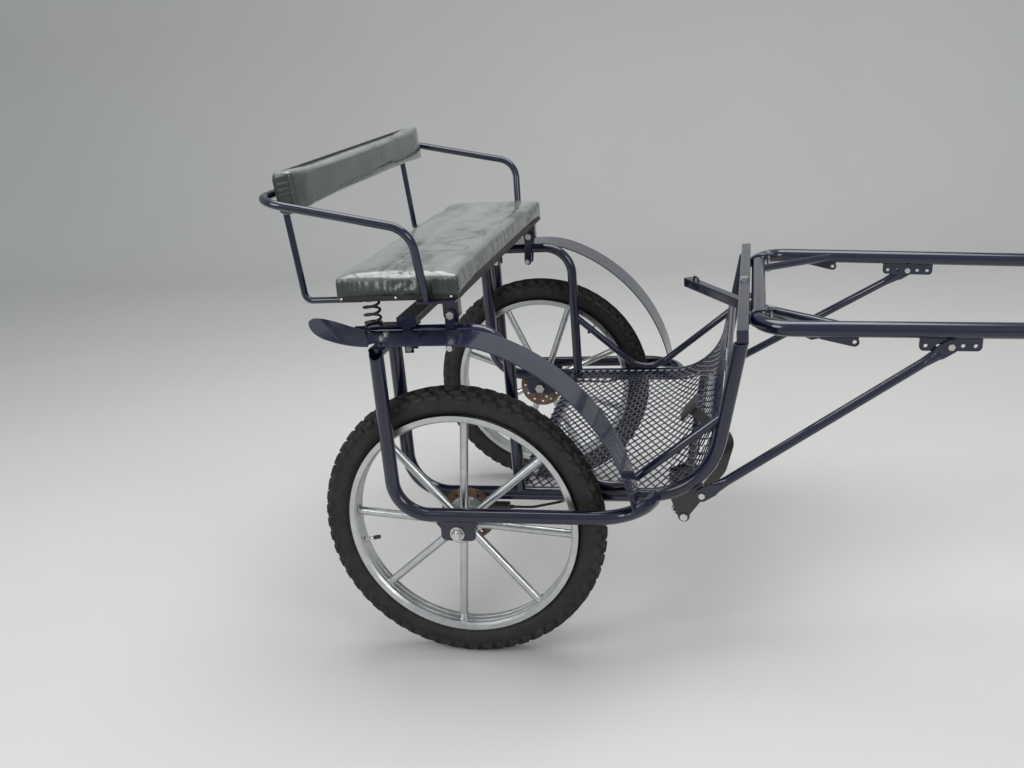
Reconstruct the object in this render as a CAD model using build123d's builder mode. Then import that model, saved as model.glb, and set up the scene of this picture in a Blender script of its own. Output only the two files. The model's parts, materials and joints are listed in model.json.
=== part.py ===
from build123d import *
from math import cos, radians, sin, sqrt, tan
import os

# Two-wheeled driving cart for one horse, welded and bolted from round steel tube:
# a basket with an expanded-metal floor between two wheels, each wheel carried between
# an inner side frame and an outer guard loop, a sprung bench seat with a back rail,
# two shafts with adjustable struts, a swivelling singletree and a foot brake that
# works a disc on each wheel.
# Millimetres. +X is forward, +Y is the driver's left, +Z is up. The ground is Z = 0.
# The origin is on the ground in the middle of the cart's overall length and width.

os.makedirs("parts", exist_ok=True)

SIDES = {"right": -1, "left": 1}

# Clearances
touch = 0.3
running = 0.05

# Wheels
wheel_diameter = 660.0
axle_z = wheel_diameter / 2
wheel_plane = 500.0
tyre_height = 62.0
tyre_half = 30.0
tyre_wall = 4.0
rim_radius = wheel_diameter / 2 - tyre_height
rim_depth = 16.0
rim_base_radius = rim_radius - rim_depth
rim_half = 25.0
rim_wall = 3.0
tyre_bead_radius = rim_base_radius + 2 * rim_wall + touch
tyre_bead_half = rim_half - rim_wall - touch
tyre_widest_radius = rim_radius + 26.0
tyre_shoulder_radius = wheel_diameter / 2 - 8.0
tube_wall = 2.0
tube_half = tyre_half - tyre_wall - 5.0
tube_tall = (tyre_height - tyre_wall) / 2
tube_edge = 0.5
tube_radius = rim_radius + tyre_height / 2 - 6.7
spoke_count = 8
spoke_diameter = 19.0
spoke_wall = 2.0
hub_radius = 32.0
hub_bore = 12.0
hub_outer_reach = 46.0
hub_inner_reach = 56.0
hub_flange_radius = 46.0
hub_flange = 5.0
disc_inset = 43.5
disc_diameter = 130.0
disc_thickness = 3.0
disc_bore = 24.0
disc_bolt_circle = 38.0
disc_bolt = 6.0
disc_hole = 7.0
disc_hole_circle = 52.0
disc_hole_count = 12
axle_diameter = 17.0
bearing_radius = 20.0
bearing_width = 12.0
valve_radius = 3.0
valve_reach = rim_base_radius - 37.0
wheel_phase = {"right": -5.5, "left": 23.5}
valve_phase = {"right": 191.7, "left": 46.0}

# Frame tubes
frame_tube = 31.8
frame_wall = 2.5
side_frame_y = wheel_plane - 67.0
guard_y = wheel_plane + 56.0
floor_z = axle_z + 44.0
leg_x = -140.0
side_bend = 95.0
guard_rear_bend = 80.0
guard_front_x = 430.0
guard_bend = 120.0
crown_z = floor_z + 382.0
dash_corner_x = 547.0
dash_bend = 170.0
dash_lean = 12.4
dash_top_z = floor_z + 383.0
dash_bar_width = 25.0
dash_bar_height = 30.0
dash_bar_half = side_frame_y + 8.0
bar_wall = 2.0
axle_plate = 6.0
axle_plate_rear_x = -38.0
axle_plate_front_x = 42.0
axle_plate_low_z = axle_z - 18.0

# Seat rails, floor and side braces
seat_rail_tube = 27.0
seat_rail_wall = 2.5
seat_rail_z = crown_z + 12.0
seat_rail_rear_x = -229.0
seat_leg_x = 121.5
seat_rail_bend = 80.0
rear_cross_width = 25.0
front_cross_tube = 20.0
front_cross_angle = 35.0
mesh_bar_tube = 14.0
mesh_bar_z = floor_z + 226.0
mesh_thickness = 3.0
mesh_half = side_frame_y - 10.0
cross_wall = 2.0
brace_tube = 19.0
brace_wall = 2.0
brace_rear_z = floor_z + 183.0
brace_front_z = floor_z + 196.0
brace_low_x = 330.0
brace_corner_z = floor_z - 4.0
brace_bend = 90.0

# Wheel fenders
fender_width = 112.0
fender_y = wheel_plane + 12.0
fender_thickness = 3.0
fender_flat_rear_x = -148.0
fender_flat_front_x = 20.0
fender_rear_bend = 279.0
fender_rear_turn = 33.0
fender_upper_bend = 250.0
fender_upper_turn = 22.0
fender_front_bend = 462.0
fender_front_turn = 60.3

# Shafts
shaft_tube = 35.0
shaft_wall = 2.5
shaft_bend = 75.0
shaft_spread = side_frame_y - 64.8
shaft_taper = 3.06
shaft_droop = 2.6
shaft_tip_reach = 2180.0
shaft_tip_grip = 300.0
shaft_tip_step = 1.0
shaft_tip_round = 4.0
shaft_joint_y = shaft_spread - 123.2
strap_y = shaft_joint_y + 38.0
strap_width = 24.0
strap_thickness = 3.0
strap_reach = 40.0
clamp_bolt = 8.0
shaft_brace_tube = 19.0
shaft_brace_wall = 2.0
shaft_brace_inner_y = shaft_joint_y - 52.0
shaft_brace_reach = 204.0

# Shaft struts and hold-back eyes
strut_tube = 21.0
strut_wall = 2.0
strut_flat = 6.0
strut_eye_radius = 15.0
strut_low_x = 535.0
strut_low_z = floor_z + 4.0
strut_plate_reach = 392.0
strut_plate_half = 63.0
strut_plate_drop = 45.0
strut_hole_drop = 34.0
strut_hole_pitch = 25.0
strut_hole_count = 5
strut_hole = 8.6
strut_bolt = 8.0
strut_plate = 5.0
holdback_reach = 167.0
holdback_length = 80.0
holdback_drop = 28.0
holdback_hole = 9.0

# Seat
seat_half = side_frame_y + 39.0
seat_front_x = 37.0
seat_rear_x = -255.0
board_inset = 4.0
seat_board_z = seat_rail_z + 80.0
seat_board = 12.0
cushion_height = 44.0
hinge_x = 3.0
hinge_z = seat_rail_z + 39.0
hinge_pin = 10.0
hinge_strap = 24.0
hinge_ring = 18.0
ear_plate = 4.0
ear_outer_y = seat_half + 23.0
ear_inner_y = side_frame_y - 20.0
cheek_thickness = 5.0
cheek_half = 10.0
front_clamp_x = -6.0
rear_clamp_x = -101.0
clamp_bolt_z = seat_rail_z - 36.0
rail_clamp_bolt = 8.0
seat_cross_width = 45.0
seat_cross_height = 20.0
seat_cross_half = side_frame_y + 17.0
spring_x = -184.0
spring_wire = 6.5
spring_outer = 42.0
spring_turns = 4.0
spring_plate = 3.0
arm_tube = 19.0
arm_wall = 2.0
arm_foot_x = -38.0
arm_foot_y = seat_half + 12.5
arm_y = arm_foot_y + 40.5
arm_front_x = -44.0
arm_front_z = seat_board_z + 164.0
arm_back_x = -383.0
arm_back_z = arm_front_z + 75.0
arm_bend = 60.0
back_strut = 15.0
back_strut_y = seat_half - 52.0
back_strut_x = -365.0
back_strut_ref_z = arm_back_z - 10.0
back_lean = 5.0
back_half = seat_half - 2.0
back_low_z = arm_back_z - 45.0
back_height = 96.0
back_board = 10.0
back_cushion = 35.0

# Singletree
tree_length = 610.0
tree_width = 25.0
tree_height = 25.0
tree_z = dash_top_z - 63.0
tree_turn = 30.6
tree_pin = 12.0
tree_bracket = 4.0
tree_bracket_half = 20.0
loop_wire = 6.0
loop_width = 26.0
loop_height = 9.0
loop_inset = 34.0
cap_depth = 18.0
cap_wall = 1.5

# Brake
pedal_y = -330.0
pedal_x = 487.0
pedal_z = floor_z - 94.0
pedal_pin = 10.0
lever_thickness = 8.0
lever_width = 22.0
pull_arm = 24.0
pull_slope = 54.6
pad_x = pedal_x + 18.0
pad_z = pedal_z + 266.0
pad_size = 55.0
pad_thickness = 6.0
cheek_gap_half = 12.3
bracket_plate = 4.0
cylinder_diameter = 22.0
cylinder_start = 46.0
cylinder_end = 156.0
piston_diameter = 12.0
rod_diameter = 8.0
line_diameter = 6.0
caliper_rear_x = 50.0
caliper_front_x = 99.0
caliper_low_z = axle_z + 4.0
caliper_top_z = axle_z + 26.0
caliper_jaw = 12.0
caliper_gap = 0.5
caliper_bolt = 6.0
caliper_bolt_x = 33.0
caliper_bolt_z = axle_z + 15.0
line_drop_x = 240.0
line_turn_x = 213.0
line_low_x = 152.0
floor_clip_x = (290.0, 385.0)
cross_clip_y = (-200.0, 60.0, 320.0)

# The axle stands behind the middle of the cart, so that the origin is that middle.
rear_reach = arm_tube / 2 - arm_back_x
axle_x = (rear_reach - shaft_tip_reach) / 2


def at(x, y, z):
    """A point whose X is counted from the axle, as every length along the cart is."""
    return (axle_x + x, y, z)


def side_plane(y):
    """An upright plane along the cart at this Y: its X is forward and its Y is up."""
    return Plane(origin=(0, y, 0), x_dir=(1, 0, 0), z_dir=(0, -1, 0))


def save(name, part):
    """Names a finished piece and writes its file."""
    part.label = name
    export_step(part, "parts/" + name + ".step")


def round_bar(points, bends, radius):
    """A solid round bar through the points, with an arc of the given radius at each bend."""
    with BuildPart() as bar:
        with BuildLine() as route:
            if len(points) == 2:
                Line(*points)
            else:
                FilletPolyline(*points, radius=bends)
        with BuildSketch(Plane(origin=route.line @ 0, z_dir=route.line % 0)):
            Circle(radius)
        sweep()
    return bar.part


def bolt(centre, axis, length, diameter):
    """A hexagon bolt and nut whose grip is this long: the head is at the axis end."""
    span = Vector(*axis).normalized()
    middle = Vector(*centre)
    head = Plane(origin=middle + span * (length / 2), z_dir=span)
    nut = Plane(origin=middle - span * (length / 2), z_dir=-span)
    head_height = 0.65 * diameter
    nut_height = 0.85 * diameter
    with BuildPart() as screw:
        with BuildSketch(nut.offset(nut_height + 0.4 * diameter)):
            Circle(diameter / 2)
        extrude(amount=-(length + nut_height + 0.4 * diameter))
        with BuildSketch(head):
            RegularPolygon(0.95 * diameter, 6)
        extrude(amount=head_height)
        with BuildSketch(nut):
            RegularPolygon(0.95 * diameter, 6)
        extrude(amount=nut_height)
    return screw.part


def tube(skin, points, bends, outer, wall, members):
    """A tube from its solid skin: bored out, and notched to the members it is welded to."""
    bore = round_bar(points, bends, outer / 2 - wall)
    with BuildPart() as pipe:
        add(skin)
        add(bore, mode=Mode.SUBTRACT)
        for member in members:
            add(member, mode=Mode.SUBTRACT)
    return pipe.part


def biggest(part):
    """The main length that is left once a notch has cut off a tube's end."""
    return part.solids().sort_by(SortBy.VOLUME)[-1]


# Places that several pieces share
dash_tangent = dash_bend * tan(radians((90 - dash_lean) / 2))
bend_x = dash_corner_x - dash_tangent
bend_z = floor_z + dash_bend
lean = tan(radians(dash_lean))
dash_bar_z = dash_top_z - dash_bar_height / 2
dash_bar_x = dash_corner_x + (dash_bar_z - floor_z) * lean
crossbar_x = dash_bar_x + dash_bar_width / 2 + strap_thickness + shaft_tube / 2
crossbar_z = dash_top_z - shaft_tube / 2
shaft_reach = shaft_tip_reach - crossbar_x
shaft_span = Vector(cos(radians(shaft_droop)), 0, -sin(radians(shaft_droop)))


def bend_point(radius, angle):
    """A point beside the basket's curved front, at this angle past straight down."""
    x = bend_x + radius * sin(radians(angle))
    return x, bend_z - radius * cos(radians(angle))


def shaft_point(reach, side):
    """A point on a shaft's centre line, this far forward of the crossbar."""
    y = shaft_spread - reach * tan(radians(shaft_taper))
    z = crossbar_z - reach * tan(radians(shaft_droop))
    return at(crossbar_x + reach, side * y, z)


def shaft_plane(reach, side):
    """The upright plane along a shaft here: its X runs to the tip and its Y is up."""
    along = Vector(*shaft_point(shaft_reach, side)) - Vector(*shaft_point(0, side))
    across = Vector(0, 0, 1).cross(along)
    return Plane(origin=shaft_point(reach, side), x_dir=along, z_dir=-across)


def side_frame_line(side, top_z):
    y = side * side_frame_y
    return [
        at(leg_x, y, seat_rail_z),
        at(leg_x, y, floor_z),
        at(dash_corner_x, y, floor_z),
        at(dash_corner_x + (top_z - floor_z) * lean, y, top_z),
    ]


def seat_rail_line(side):
    y = side * side_frame_y
    return [
        at(seat_rail_rear_x, y, seat_rail_z),
        at(seat_leg_x, y, seat_rail_z),
        at(seat_leg_x, y, floor_z),
    ]


def guard_line(side):
    return [
        at(leg_x, side * guard_y, crown_z + frame_tube),
        at(leg_x, side * guard_y, floor_z),
        at(guard_front_x, side * guard_y, floor_z),
        at(guard_front_x, side * side_frame_y, floor_z),
    ]


def brace_line(side):
    y = side * side_frame_y
    return [
        at(seat_leg_x, y, brace_rear_z),
        at(brace_low_x, y, brace_corner_z),
        at(dash_corner_x + (brace_front_z - floor_z) * lean, y, brace_front_z),
    ]


# Solid skins of the main tubes, which the pieces welded to them are notched to
frame_radius = frame_tube / 2
side_skin = {}
rail_skin = {}
guard_skin = {}
brace_skin = {}
shaft_skin = {}
for name, side in SIDES.items():
    side_skin[name] = round_bar(side_frame_line(side, dash_top_z), [side_bend, dash_bend], frame_radius)
    rail_skin[name] = round_bar(seat_rail_line(side), [seat_rail_bend], seat_rail_tube / 2)
    guard_skin[name] = round_bar(guard_line(side), [guard_rear_bend, guard_bend], frame_radius)
    brace_skin[name] = round_bar(brace_line(side), [brace_bend], brace_tube / 2)
    shaft_line = [
        at(crossbar_x, side * shaft_joint_y, crossbar_z),
        shaft_point(0, side),
        shaft_point(shaft_reach, side),
    ]
    shaft_skin[name] = round_bar(shaft_line, [shaft_bend], shaft_tube / 2)

# Side frames: rear leg, floor rail and the bent-up front of the basket in one tube
dash_cut_z = dash_top_z - dash_bar_height
for name, side in SIDES.items():
    line = side_frame_line(side, dash_top_z)
    frame_bore = round_bar(line, [side_bend, dash_bend], frame_radius - frame_wall)
    with BuildPart() as side_frame:
        add(side_skin[name])
        add(frame_bore, mode=Mode.SUBTRACT)
        with BuildSketch(Plane.XY.offset(dash_cut_z)):
            with Locations((axle_x + dash_bar_x, side * side_frame_y)):
                Rectangle(3 * frame_tube, 2 * frame_tube)
        extrude(amount=3 * dash_bar_height, mode=Mode.SUBTRACT)
        add(rail_skin[name], mode=Mode.SUBTRACT)
    save("side_frame_" + name, biggest(side_frame.part))

# Wheel guards: an outer loop whose leg is mitred to a crown tube that runs inboard
for name, side in SIDES.items():
    guard_bore = round_bar(guard_line(side), [guard_rear_bend, guard_bend], frame_radius - frame_wall)
    crown_ends = [at(leg_x, side * (guard_y + frame_tube), crown_z), at(leg_x, side * side_frame_y, crown_z)]
    crown_skin = round_bar(crown_ends, [], frame_radius)
    crown_bore = round_bar(crown_ends, [], frame_radius - frame_wall)
    corner = Vector(*at(leg_x, side * guard_y, crown_z))
    mitre = Plane(origin=corner, z_dir=(0, side, 1))
    with BuildPart() as leg_tube:
        add(guard_skin[name])
        add(guard_bore, mode=Mode.SUBTRACT)
        split(bisect_by=mitre, keep=Keep.BOTTOM)
        add(side_skin[name], mode=Mode.SUBTRACT)
    with BuildPart() as crown_tube:
        add(crown_skin)
        add(crown_bore, mode=Mode.SUBTRACT)
        split(bisect_by=Plane(origin=corner, z_dir=(0, side, -1)), keep=Keep.BOTTOM)
        add(side_skin[name], mode=Mode.SUBTRACT)
        add(rail_skin[name], mode=Mode.SUBTRACT)
    leg_piece = biggest(leg_tube.part)
    crown_piece = biggest(crown_tube.part)
    with BuildPart() as wheel_guard:
        add(leg_piece)
        add(crown_piece)
    save("wheel_guard_" + name, wheel_guard.part)

# Axle plates under the inner and outer floor rails
with BuildPart() as axle_plates:
    for y in (-guard_y, -side_frame_y, side_frame_y, guard_y):
        with BuildSketch(side_plane(y + axle_plate / 2)) as plate_face:
            with BuildLine():
                Polyline(
                    (axle_x + axle_plate_rear_x - 8, floor_z),
                    (axle_x + axle_plate_rear_x - 8, floor_z - frame_radius - 6),
                    (axle_x + axle_plate_rear_x, floor_z - frame_radius - 16),
                    (axle_x + axle_plate_rear_x, axle_plate_low_z),
                    (axle_x + axle_plate_front_x, axle_plate_low_z),
                    (axle_x + axle_plate_front_x, floor_z - frame_radius - 16),
                    (axle_x + axle_plate_front_x + 8, floor_z - frame_radius - 6),
                    (axle_x + axle_plate_front_x + 8, floor_z),
                    close=True,
                )
            make_face()
            fillet(plate_face.vertices().group_by(Axis.Y)[0], radius=12)
            with Locations((axle_x, axle_z)):
                Circle(axle_diameter / 2, mode=Mode.SUBTRACT)
            if abs(y) == side_frame_y:
                with Locations((axle_x + caliper_bolt_x, caliper_bolt_z)):
                    Circle(caliper_bolt / 2, mode=Mode.SUBTRACT)
        extrude(amount=axle_plate)
    for name in SIDES:
        add(side_skin[name], mode=Mode.SUBTRACT)
        add(guard_skin[name], mode=Mode.SUBTRACT)
# The rails cut off the plates' upper tips, which are dropped.
plates = axle_plates.part.solids().sort_by(SortBy.VOLUME)[-4:]
with BuildPart() as axle_plate_set:
    for plate in plates:
        add(plate)
save("axle_plates", axle_plate_set.part)

# Seat rails: each runs level and bends down to the floor rail
with BuildPart() as seat_rails:
    for name, side in SIDES.items():
        rail = tube(rail_skin[name], seat_rail_line(side), [seat_rail_bend], seat_rail_tube, seat_rail_wall,
                    [side_skin[name]])
        add(biggest(rail))
save("seat_rails", seat_rails.part)

# V-shaped side braces, bent over the floor rail
with BuildPart() as side_braces:
    for name, side in SIDES.items():
        brace = tube(brace_skin[name], brace_line(side), [brace_bend], brace_tube, brace_wall,
                     [side_skin[name], rail_skin[name]])
        add(biggest(brace))
save("side_braces", side_braces.part)

# Floor crossbars: square at the rear, round at the front, and a thin one above the mesh
front_cross = bend_point(dash_bend - 2.5, front_cross_angle)
mesh_offset = rear_cross_width / 2 + mesh_thickness / 2
mesh_bar_axis_x = dash_corner_x + (mesh_bar_z - floor_z) * lean - (mesh_offset - 8.5)
with BuildPart() as rear_cross:
    with BuildSketch(side_plane(-side_frame_y)) as cross_face:
        with Locations((axle_x + seat_leg_x, floor_z)):
            RectangleRounded(rear_cross_width, rear_cross_width, 2.5)
            RectangleRounded(rear_cross_width - 2 * cross_wall, rear_cross_width - 2 * cross_wall, 1,
                             mode=Mode.SUBTRACT)
    extrude(amount=-2 * side_frame_y)
    for name in SIDES:
        add(side_skin[name], mode=Mode.SUBTRACT)
        add(rail_skin[name], mode=Mode.SUBTRACT)
crossbars = [biggest(rear_cross.part)]
front_cross_skin = round_bar(
    [at(front_cross[0], -side_frame_y, front_cross[1]), at(front_cross[0], side_frame_y, front_cross[1])],
    [], front_cross_tube / 2)
for diameter, x, z in (
    (front_cross_tube, front_cross[0], front_cross[1]),
    (mesh_bar_tube, mesh_bar_axis_x, mesh_bar_z),
):
    ends = [at(x, -side_frame_y, z), at(x, side_frame_y, z)]
    bar = tube(round_bar(ends, [], diameter / 2), ends, [], diameter, cross_wall,
               [side_skin["right"], side_skin["left"]])
    crossbars.append(biggest(bar))
with BuildPart() as floor_crossbars:
    for bar in crossbars:
        add(bar)
save("floor_crossbars", floor_crossbars.part)

# Dash crossbar: a flat-sided tube across the tops of the side frames
with BuildPart() as dash_crossbar:
    with BuildSketch(side_plane(-dash_bar_half)):
        with Locations((axle_x + dash_bar_x, dash_bar_z)):
            RectangleRounded(dash_bar_width, dash_bar_height, 3)
    extrude(amount=-2 * dash_bar_half)
    with BuildSketch(side_plane(-dash_bar_half + bar_wall)):
        with Locations((axle_x + dash_bar_x, dash_bar_z)):
            RectangleRounded(dash_bar_width - 2 * bar_wall, dash_bar_height - 2 * bar_wall, 1)
    extrude(amount=-2 * (dash_bar_half - bar_wall), mode=Mode.SUBTRACT)
    with Locations(at(dash_bar_x, 0, dash_bar_z)):
        Cylinder(tree_pin / 2, 2 * dash_bar_height, mode=Mode.SUBTRACT)
save("dash_crossbar", dash_crossbar.part)

# Floor mesh: a sheet that lies on the crossbars and curves up the front of the basket
mesh_radius = dash_bend - mesh_offset
mesh_top_x = dash_corner_x + (mesh_bar_z - floor_z) * lean - mesh_offset / cos(radians(dash_lean))
slot_low = bend_point(mesh_radius, 47)
slot_high_z = pad_z - 14.0
slot_width = 24.0
with BuildPart() as floor_mesh:
    with BuildLine() as mesh_line:
        FilletPolyline(
            at(seat_leg_x - rear_cross_width / 2, mesh_half, floor_z + mesh_offset),
            at(dash_corner_x - mesh_offset * tan(radians((90 - dash_lean) / 2)), mesh_half, floor_z + mesh_offset),
            at(mesh_top_x, mesh_half, mesh_bar_z + 8),
            radius=mesh_radius,
        )
    with BuildSketch(Plane(origin=mesh_line.line @ 0, x_dir=(0, 1, 0), z_dir=(1, 0, 0))):
        with Locations((-mesh_half, 0)):
            Rectangle(2 * mesh_half, mesh_thickness)
    sweep()
    with BuildSketch(Plane.YZ.offset(axle_x + bend_x + 90)):
        with Locations((pedal_y, (slot_low[1] + slot_high_z) / 2)):
            Rectangle(slot_width, slot_high_z - slot_low[1])
    extrude(amount=dash_bend, mode=Mode.SUBTRACT)
    for name in SIDES:
        add(side_skin[name], mode=Mode.SUBTRACT)
        add(rail_skin[name], mode=Mode.SUBTRACT)
        add(brace_skin[name], mode=Mode.SUBTRACT)
save("floor_mesh", biggest(floor_mesh.part))

# Fenders: a strip over each wheel, raised at the back and brought down at the front
fender_z = crown_z + frame_radius + fender_thickness / 2
with BuildPart() as fenders:
    for name, side in SIDES.items():
        with BuildLine(side_plane(side * fender_y)) as fender_line:
            flat = Line((axle_x + fender_flat_rear_x, fender_z), (axle_x + fender_flat_front_x, fender_z))
            upper = JernArc(start=flat @ 1, tangent=flat % 1, radius=fender_upper_bend,
                            arc_size=-fender_upper_turn)
            JernArc(start=upper @ 1, tangent=upper % 1, radius=fender_front_bend,
                    arc_size=-fender_front_turn)
        with BuildLine(side_plane(side * fender_y)) as fender_tail:
            JernArc(start=flat @ 0, tangent=(-1, 0), radius=fender_rear_bend, arc_size=-fender_rear_turn)
        with BuildSketch(Plane(origin=fender_line.line @ 0, x_dir=(0, 1, 0), z_dir=(1, 0, 0))):
            Rectangle(fender_width, fender_thickness)
        sweep(path=fender_line.line)
        with BuildSketch(Plane(origin=fender_tail.line @ 0, x_dir=(0, 1, 0), z_dir=(-1, 0, 0))):
            Rectangle(fender_width, fender_thickness)
        sweep(path=fender_tail.line)
    for name, side in SIDES.items():
        add(guard_skin[name], mode=Mode.SUBTRACT)
    # The raised tip is rounded off in plan.
    tip_x = axle_x + fender_flat_rear_x - fender_rear_bend * sin(radians(fender_rear_turn))
    for side in SIDES.values():
        with BuildSketch(Plane.XY.offset(fender_z + 20)):
            with Locations((tip_x + fender_width / 4, side * fender_y)):
                Rectangle(fender_width / 2 + 2, fender_width + 2)
            with Locations((tip_x + fender_width / 2, side * fender_y)):
                Circle(fender_width / 2, mode=Mode.SUBTRACT)
        extrude(amount=60, mode=Mode.SUBTRACT)
save("fenders", fenders.part)

# Shafts, each bent inboard to meet the crossbar and drawn down at its tip
tip_radius = shaft_tube / 2 - shaft_tip_step
for name, side in SIDES.items():
    end = shaft_point(shaft_reach - shaft_tip_round, side)
    bore_line = [at(crossbar_x, side * shaft_joint_y, crossbar_z), shaft_point(0, side), end]
    shaft_bore = round_bar(bore_line, [shaft_bend], shaft_tube / 2 - shaft_wall)
    along = shaft_plane(0, side).x_dir
    tip = Vector(*shaft_point(shaft_reach, side))
    with BuildPart() as shaft:
        add(shaft_skin[name])
        with BuildSketch(Plane(origin=tip, z_dir=along)):
            Circle(shaft_tube)
            Circle(tip_radius, mode=Mode.SUBTRACT)
        extrude(amount=-(shaft_tip_grip + shaft_tip_round), mode=Mode.SUBTRACT)
        # A short cone leads from the shaft's full size to its tip.
        with BuildSketch(Plane(origin=tip - along * (shaft_tip_grip + shaft_tip_round), z_dir=-along)):
            Circle(shaft_tube)
            Circle(tip_radius, mode=Mode.SUBTRACT)
        extrude(amount=2 * shaft_tip_step, mode=Mode.SUBTRACT)
        with BuildSketch(Plane(origin=tip - along * (shaft_tip_grip + shaft_tip_round), z_dir=-along)):
            Circle(tip_radius)
        extrude(amount=shaft_tip_step, taper=-45)
        with BuildSketch(Plane(origin=tip - along * (shaft_tip_grip + shaft_tip_round + shaft_tip_step),
                               z_dir=-along)):
            Circle(shaft_tube / 2)
        extrude(amount=shaft_tip_step)
        fillet(shaft.edges().group_by(Axis.X)[-1], radius=shaft_tip_round)
        add(shaft_bore, mode=Mode.SUBTRACT)
    save("shaft_" + name, shaft.part)

crossbar_ends = [at(crossbar_x, -shaft_joint_y, crossbar_z), at(crossbar_x, shaft_joint_y, crossbar_z)]
crossbar_skin = round_bar(crossbar_ends, [], shaft_tube / 2)
save("shaft_crossbar", tube(crossbar_skin, crossbar_ends, [], shaft_tube, shaft_wall, []))

# Corner braces between the crossbar and the shafts
with BuildPart() as shaft_braces:
    for name, side in SIDES.items():
        ends = [at(crossbar_x, side * shaft_brace_inner_y, crossbar_z), shaft_point(shaft_brace_reach, side)]
        brace = tube(round_bar(ends, [], shaft_brace_tube / 2), ends, [], shaft_brace_tube, shaft_brace_wall,
                     [crossbar_skin, shaft_skin[name]])
        add(biggest(brace))
save("shaft_braces", shaft_braces.part)

# Crossbar clamps: straps welded to the dash bar, each closed in front by a bolt
strap_bolt_x = crossbar_x + shaft_tube / 2 + clamp_bolt / 2 + 5
strap_front_x = strap_bolt_x + 12
with BuildPart() as crossbar_clamps:
    for side in SIDES.values():
        with BuildSketch(side_plane(side * strap_y + strap_width / 2)):
            with Locations((axle_x + crossbar_x, crossbar_z)):
                Circle(shaft_tube / 2 + strap_thickness)
            with Locations((axle_x + (crossbar_x + strap_front_x) / 2, crossbar_z)):
                Rectangle(strap_front_x - crossbar_x, shaft_tube + 2 * strap_thickness)
            with Locations((axle_x + crossbar_x, crossbar_z)):
                Circle(shaft_tube / 2, mode=Mode.SUBTRACT)
            with Locations((axle_x + (crossbar_x + strap_front_x) / 2 + 1, crossbar_z)):
                Rectangle(strap_front_x - crossbar_x + 2, shaft_tube, mode=Mode.SUBTRACT)
        extrude(amount=strap_width)
        with Locations(at(strap_bolt_x, side * strap_y, crossbar_z)):
            Cylinder(clamp_bolt / 2, 3 * shaft_tube, mode=Mode.SUBTRACT)
        # A block between the strap and the dash bar fills the round back of the strap.
        with BuildSketch(side_plane(side * strap_y + strap_width / 2)):
            with Locations((axle_x + crossbar_x - shaft_tube / 4 - strap_thickness / 2, crossbar_z)):
                Rectangle(shaft_tube / 2 + strap_thickness, dash_bar_height - 6)
            with Locations((axle_x + crossbar_x, crossbar_z)):
                Circle(shaft_tube / 2 + strap_thickness / 2, mode=Mode.SUBTRACT)
        extrude(amount=strap_width)
save("crossbar_clamps", crossbar_clamps.part)

# Strut brackets: a drilled plate under each shaft and a lug on each floor rail
lug_top = bend_point(dash_bend, 44)
lug_foot = bend_point(dash_bend, 28)
strut_brackets_parts = []
for name, side in SIDES.items():
    with BuildPart() as drilled_plate:
        with BuildSketch(shaft_plane(strut_plate_reach, side)) as plate_face:
            with BuildLine():
                Polyline(
                    (-strut_plate_half, 0),
                    (-strut_plate_half, -strut_plate_drop),
                    (strut_plate_half, -strut_plate_drop),
                    (strut_plate_half, 0),
                    close=True,
                )
            make_face()
            fillet(plate_face.vertices().group_by(Axis.Y)[0], radius=10)
            with Locations((0, -strut_hole_drop)):
                with GridLocations(strut_hole_pitch, 1, strut_hole_count, 1):
                    Circle(strut_hole / 2, mode=Mode.SUBTRACT)
        extrude(amount=strut_plate / 2, both=True)
        add(shaft_skin[name], mode=Mode.SUBTRACT)
    strut_brackets_parts.append(biggest(drilled_plate.part))
    with BuildPart() as lug:
        with BuildSketch(side_plane(side * side_frame_y)):
            with BuildLine():
                Polyline(
                    (axle_x + lug_foot[0], lug_foot[1]),
                    (axle_x + strut_low_x - 11, strut_low_z - 10),
                    (axle_x + strut_low_x + 12, strut_low_z - 9),
                    (axle_x + lug_top[0] + 3, lug_top[1]),
                    close=True,
                )
            make_face()
            with Locations((axle_x + strut_low_x, strut_low_z)):
                Circle(strut_eye_radius)
                Circle(strut_hole / 2, mode=Mode.SUBTRACT)
        extrude(amount=strut_plate / 2, both=True)
        add(side_skin[name], mode=Mode.SUBTRACT)
    strut_brackets_parts.append(biggest(lug.part))
with BuildPart() as strut_brackets:
    for piece in strut_brackets_parts:
        add(piece)
save("strut_brackets", strut_brackets.part)

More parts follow.
